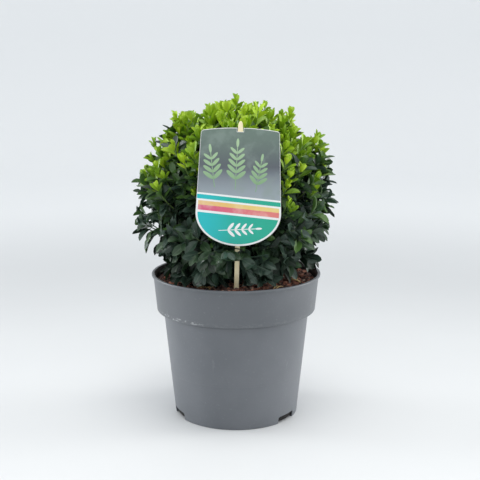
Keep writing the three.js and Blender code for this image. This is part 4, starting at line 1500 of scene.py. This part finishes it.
def print_zone(zone, margin):
    """A zone of the print between two slanting lines, inside the card's white edge."""
    bm = flat_face(card_outline())
    inner = list(bm.faces)
    bmesh.ops.inset_region(bm, faces=inner, thickness=margin, use_boundary=True, use_even_offset=True)
    bmesh.ops.delete(bm, geom=[face for face in bm.faces if face not in inner], context="FACES")
    slant = math.radians(PRINT["slant"])
    for height, cleared in zip(PRINT_EDGES[zone], ("clear_inner", "clear_outer")):
        whole = list(bm.verts) + list(bm.edges) + list(bm.faces)
        plane = {"plane_co": (0, 0, height), "plane_no": (math.sin(slant), 0, math.cos(slant))}
        bmesh.ops.bisect_plane(bm, geom=whole, **plane, **{cleared: True})
    return on_label(thickened(bm, 0.0, -PRINT["thickness"]))


def sprig(bm, foot, height, lean, pairs, leaf_length):
    """A plain sprig on the print: a straight stem with pairs of simple leaves and one at its tip."""
    turn = Matrix.Translation((foot[0], 0, foot[1])) @ turned(lean, "Y")
    stem = Matrix.Translation((0, 0, height / 2)) @ Matrix.Diagonal((PRINT["stem"], 1, height, 1))
    flat = turned(90, "X")
    bmesh.ops.create_grid(bm, x_segments=1, y_segments=1, size=0.5, matrix=turn @ stem @ flat)
    spots = [(height, 0, 0.7)]
    for i in range(pairs):
        z, size = height * (0.25 + 0.75 * i / pairs), 1 - 0.35 * i / pairs
        spots += [(z, -48, size), (z, 48, size)]
    for z, angle, size in spots:
        length = leaf_length * size
        at = Matrix.Translation((0, 0, z)) @ turned(angle, "Y") @ Matrix.Translation((0, 0, length / 2))
        form = Matrix.Diagonal((length * PRINT["leaf_width"], 1, length / 2, 1))
        bmesh.ops.create_circle(bm, cap_ends=True, segments=16, radius=1, matrix=turn @ at @ form @ flat)


def printed_sprigs(sprigs):
    bm = bmesh.new()
    for parts in sprigs:
        sprig(bm, *parts)
    return on_label(thickened(facing_front(bm), -PRINT["thickness"], -2 * PRINT["thickness"]))


def make_print():
    """The card's print: its zones and sprigs, with the colours, run and blotches of each."""
    edge, field_edge = PRINT["margin"], PRINT["field_margin"]
    across, up, field_up = (0, -0.04, 0.04), (2, 0.2, 0.33), (2, 0.255, 0.33)
    for name, mesh, look in (
        ("teal_bowl", print_zone("bowl", edge), ("teal", *across)),
        ("pink_band", print_zone("pink", edge), ("pink", *across, 0.5, (0.85, 0.55, 0.5))),
        ("gold_band", print_zone("gold", edge), ("gold", *across, 0.4, (0.86, 0.75, 0.55))),
        ("teal_stripe", print_zone("stripe", field_edge), ("teal", *across)),
        ("slate_field", print_zone("field", field_edge), ("slate", *field_up, 0.5, (0.26, 0.33, 0.29))),
        ("sage_sprigs", printed_sprigs(FIELD_SPRIGS), ("sage", *field_up)),
        ("white_sprig", printed_sprigs(BOWL_SPRIGS), ("white", *up)),
    ):
        finish_piece(name, mesh, printed(name.replace("_", " "), *look))


def make_card():
    card = on_label(thickened(flat_face(card_outline()), CARD["thickness"], 0.0))
    white = printed("white card", "white", 2, 0.2, 0.33)
    finish_piece("white_card", card, white, ["label_card"])


def make_splint():
    """A flat strip of split wood behind the card, with a rounded tip and soft edges."""
    half, depth = SPLINT["width"] / 2, SPLINT["thickness"] / 2
    shoulder = SPLINT["length"] - SPLINT["tip"]
    tip = curve_points((half, shoulder), (half * 0.9, SPLINT["length"]), (0, SPLINT["length"]), 6)
    other_side = [(-x, z) for x, z in reversed(tip[:-1])]
    outline = [(half, -SPLINT["buried"]), *tip, *other_side, (-half, -SPLINT["buried"])]
    bm = thickened(flat_face(outline), SPLINT_MIDDLE + depth, SPLINT_MIDDLE - depth)
    rim = [edge for edge in bm.edges if edge.calc_face_angle(0) > SHARP_ANGLE]
    edge_round = SPLINT["edge_round"]
    bmesh.ops.bevel(bm, geom=rim, offset=edge_round, affect="EDGES", segments=2, profile=0.5, material=-1)
    splint = on_label(bm)
    smooth(splint, 40)
    finish_piece("wooden_splint", splint, fibrous("pale split wood"), ["label_splint"])


set_camera()
set_light()
make_stage()
make_pot()
make_soil()
make_mix_top()
bark = fibrous("ridged bark")
make_trunk(bark)
make_boughs(bark)
make_crown()
make_splint()
make_card()
make_print()
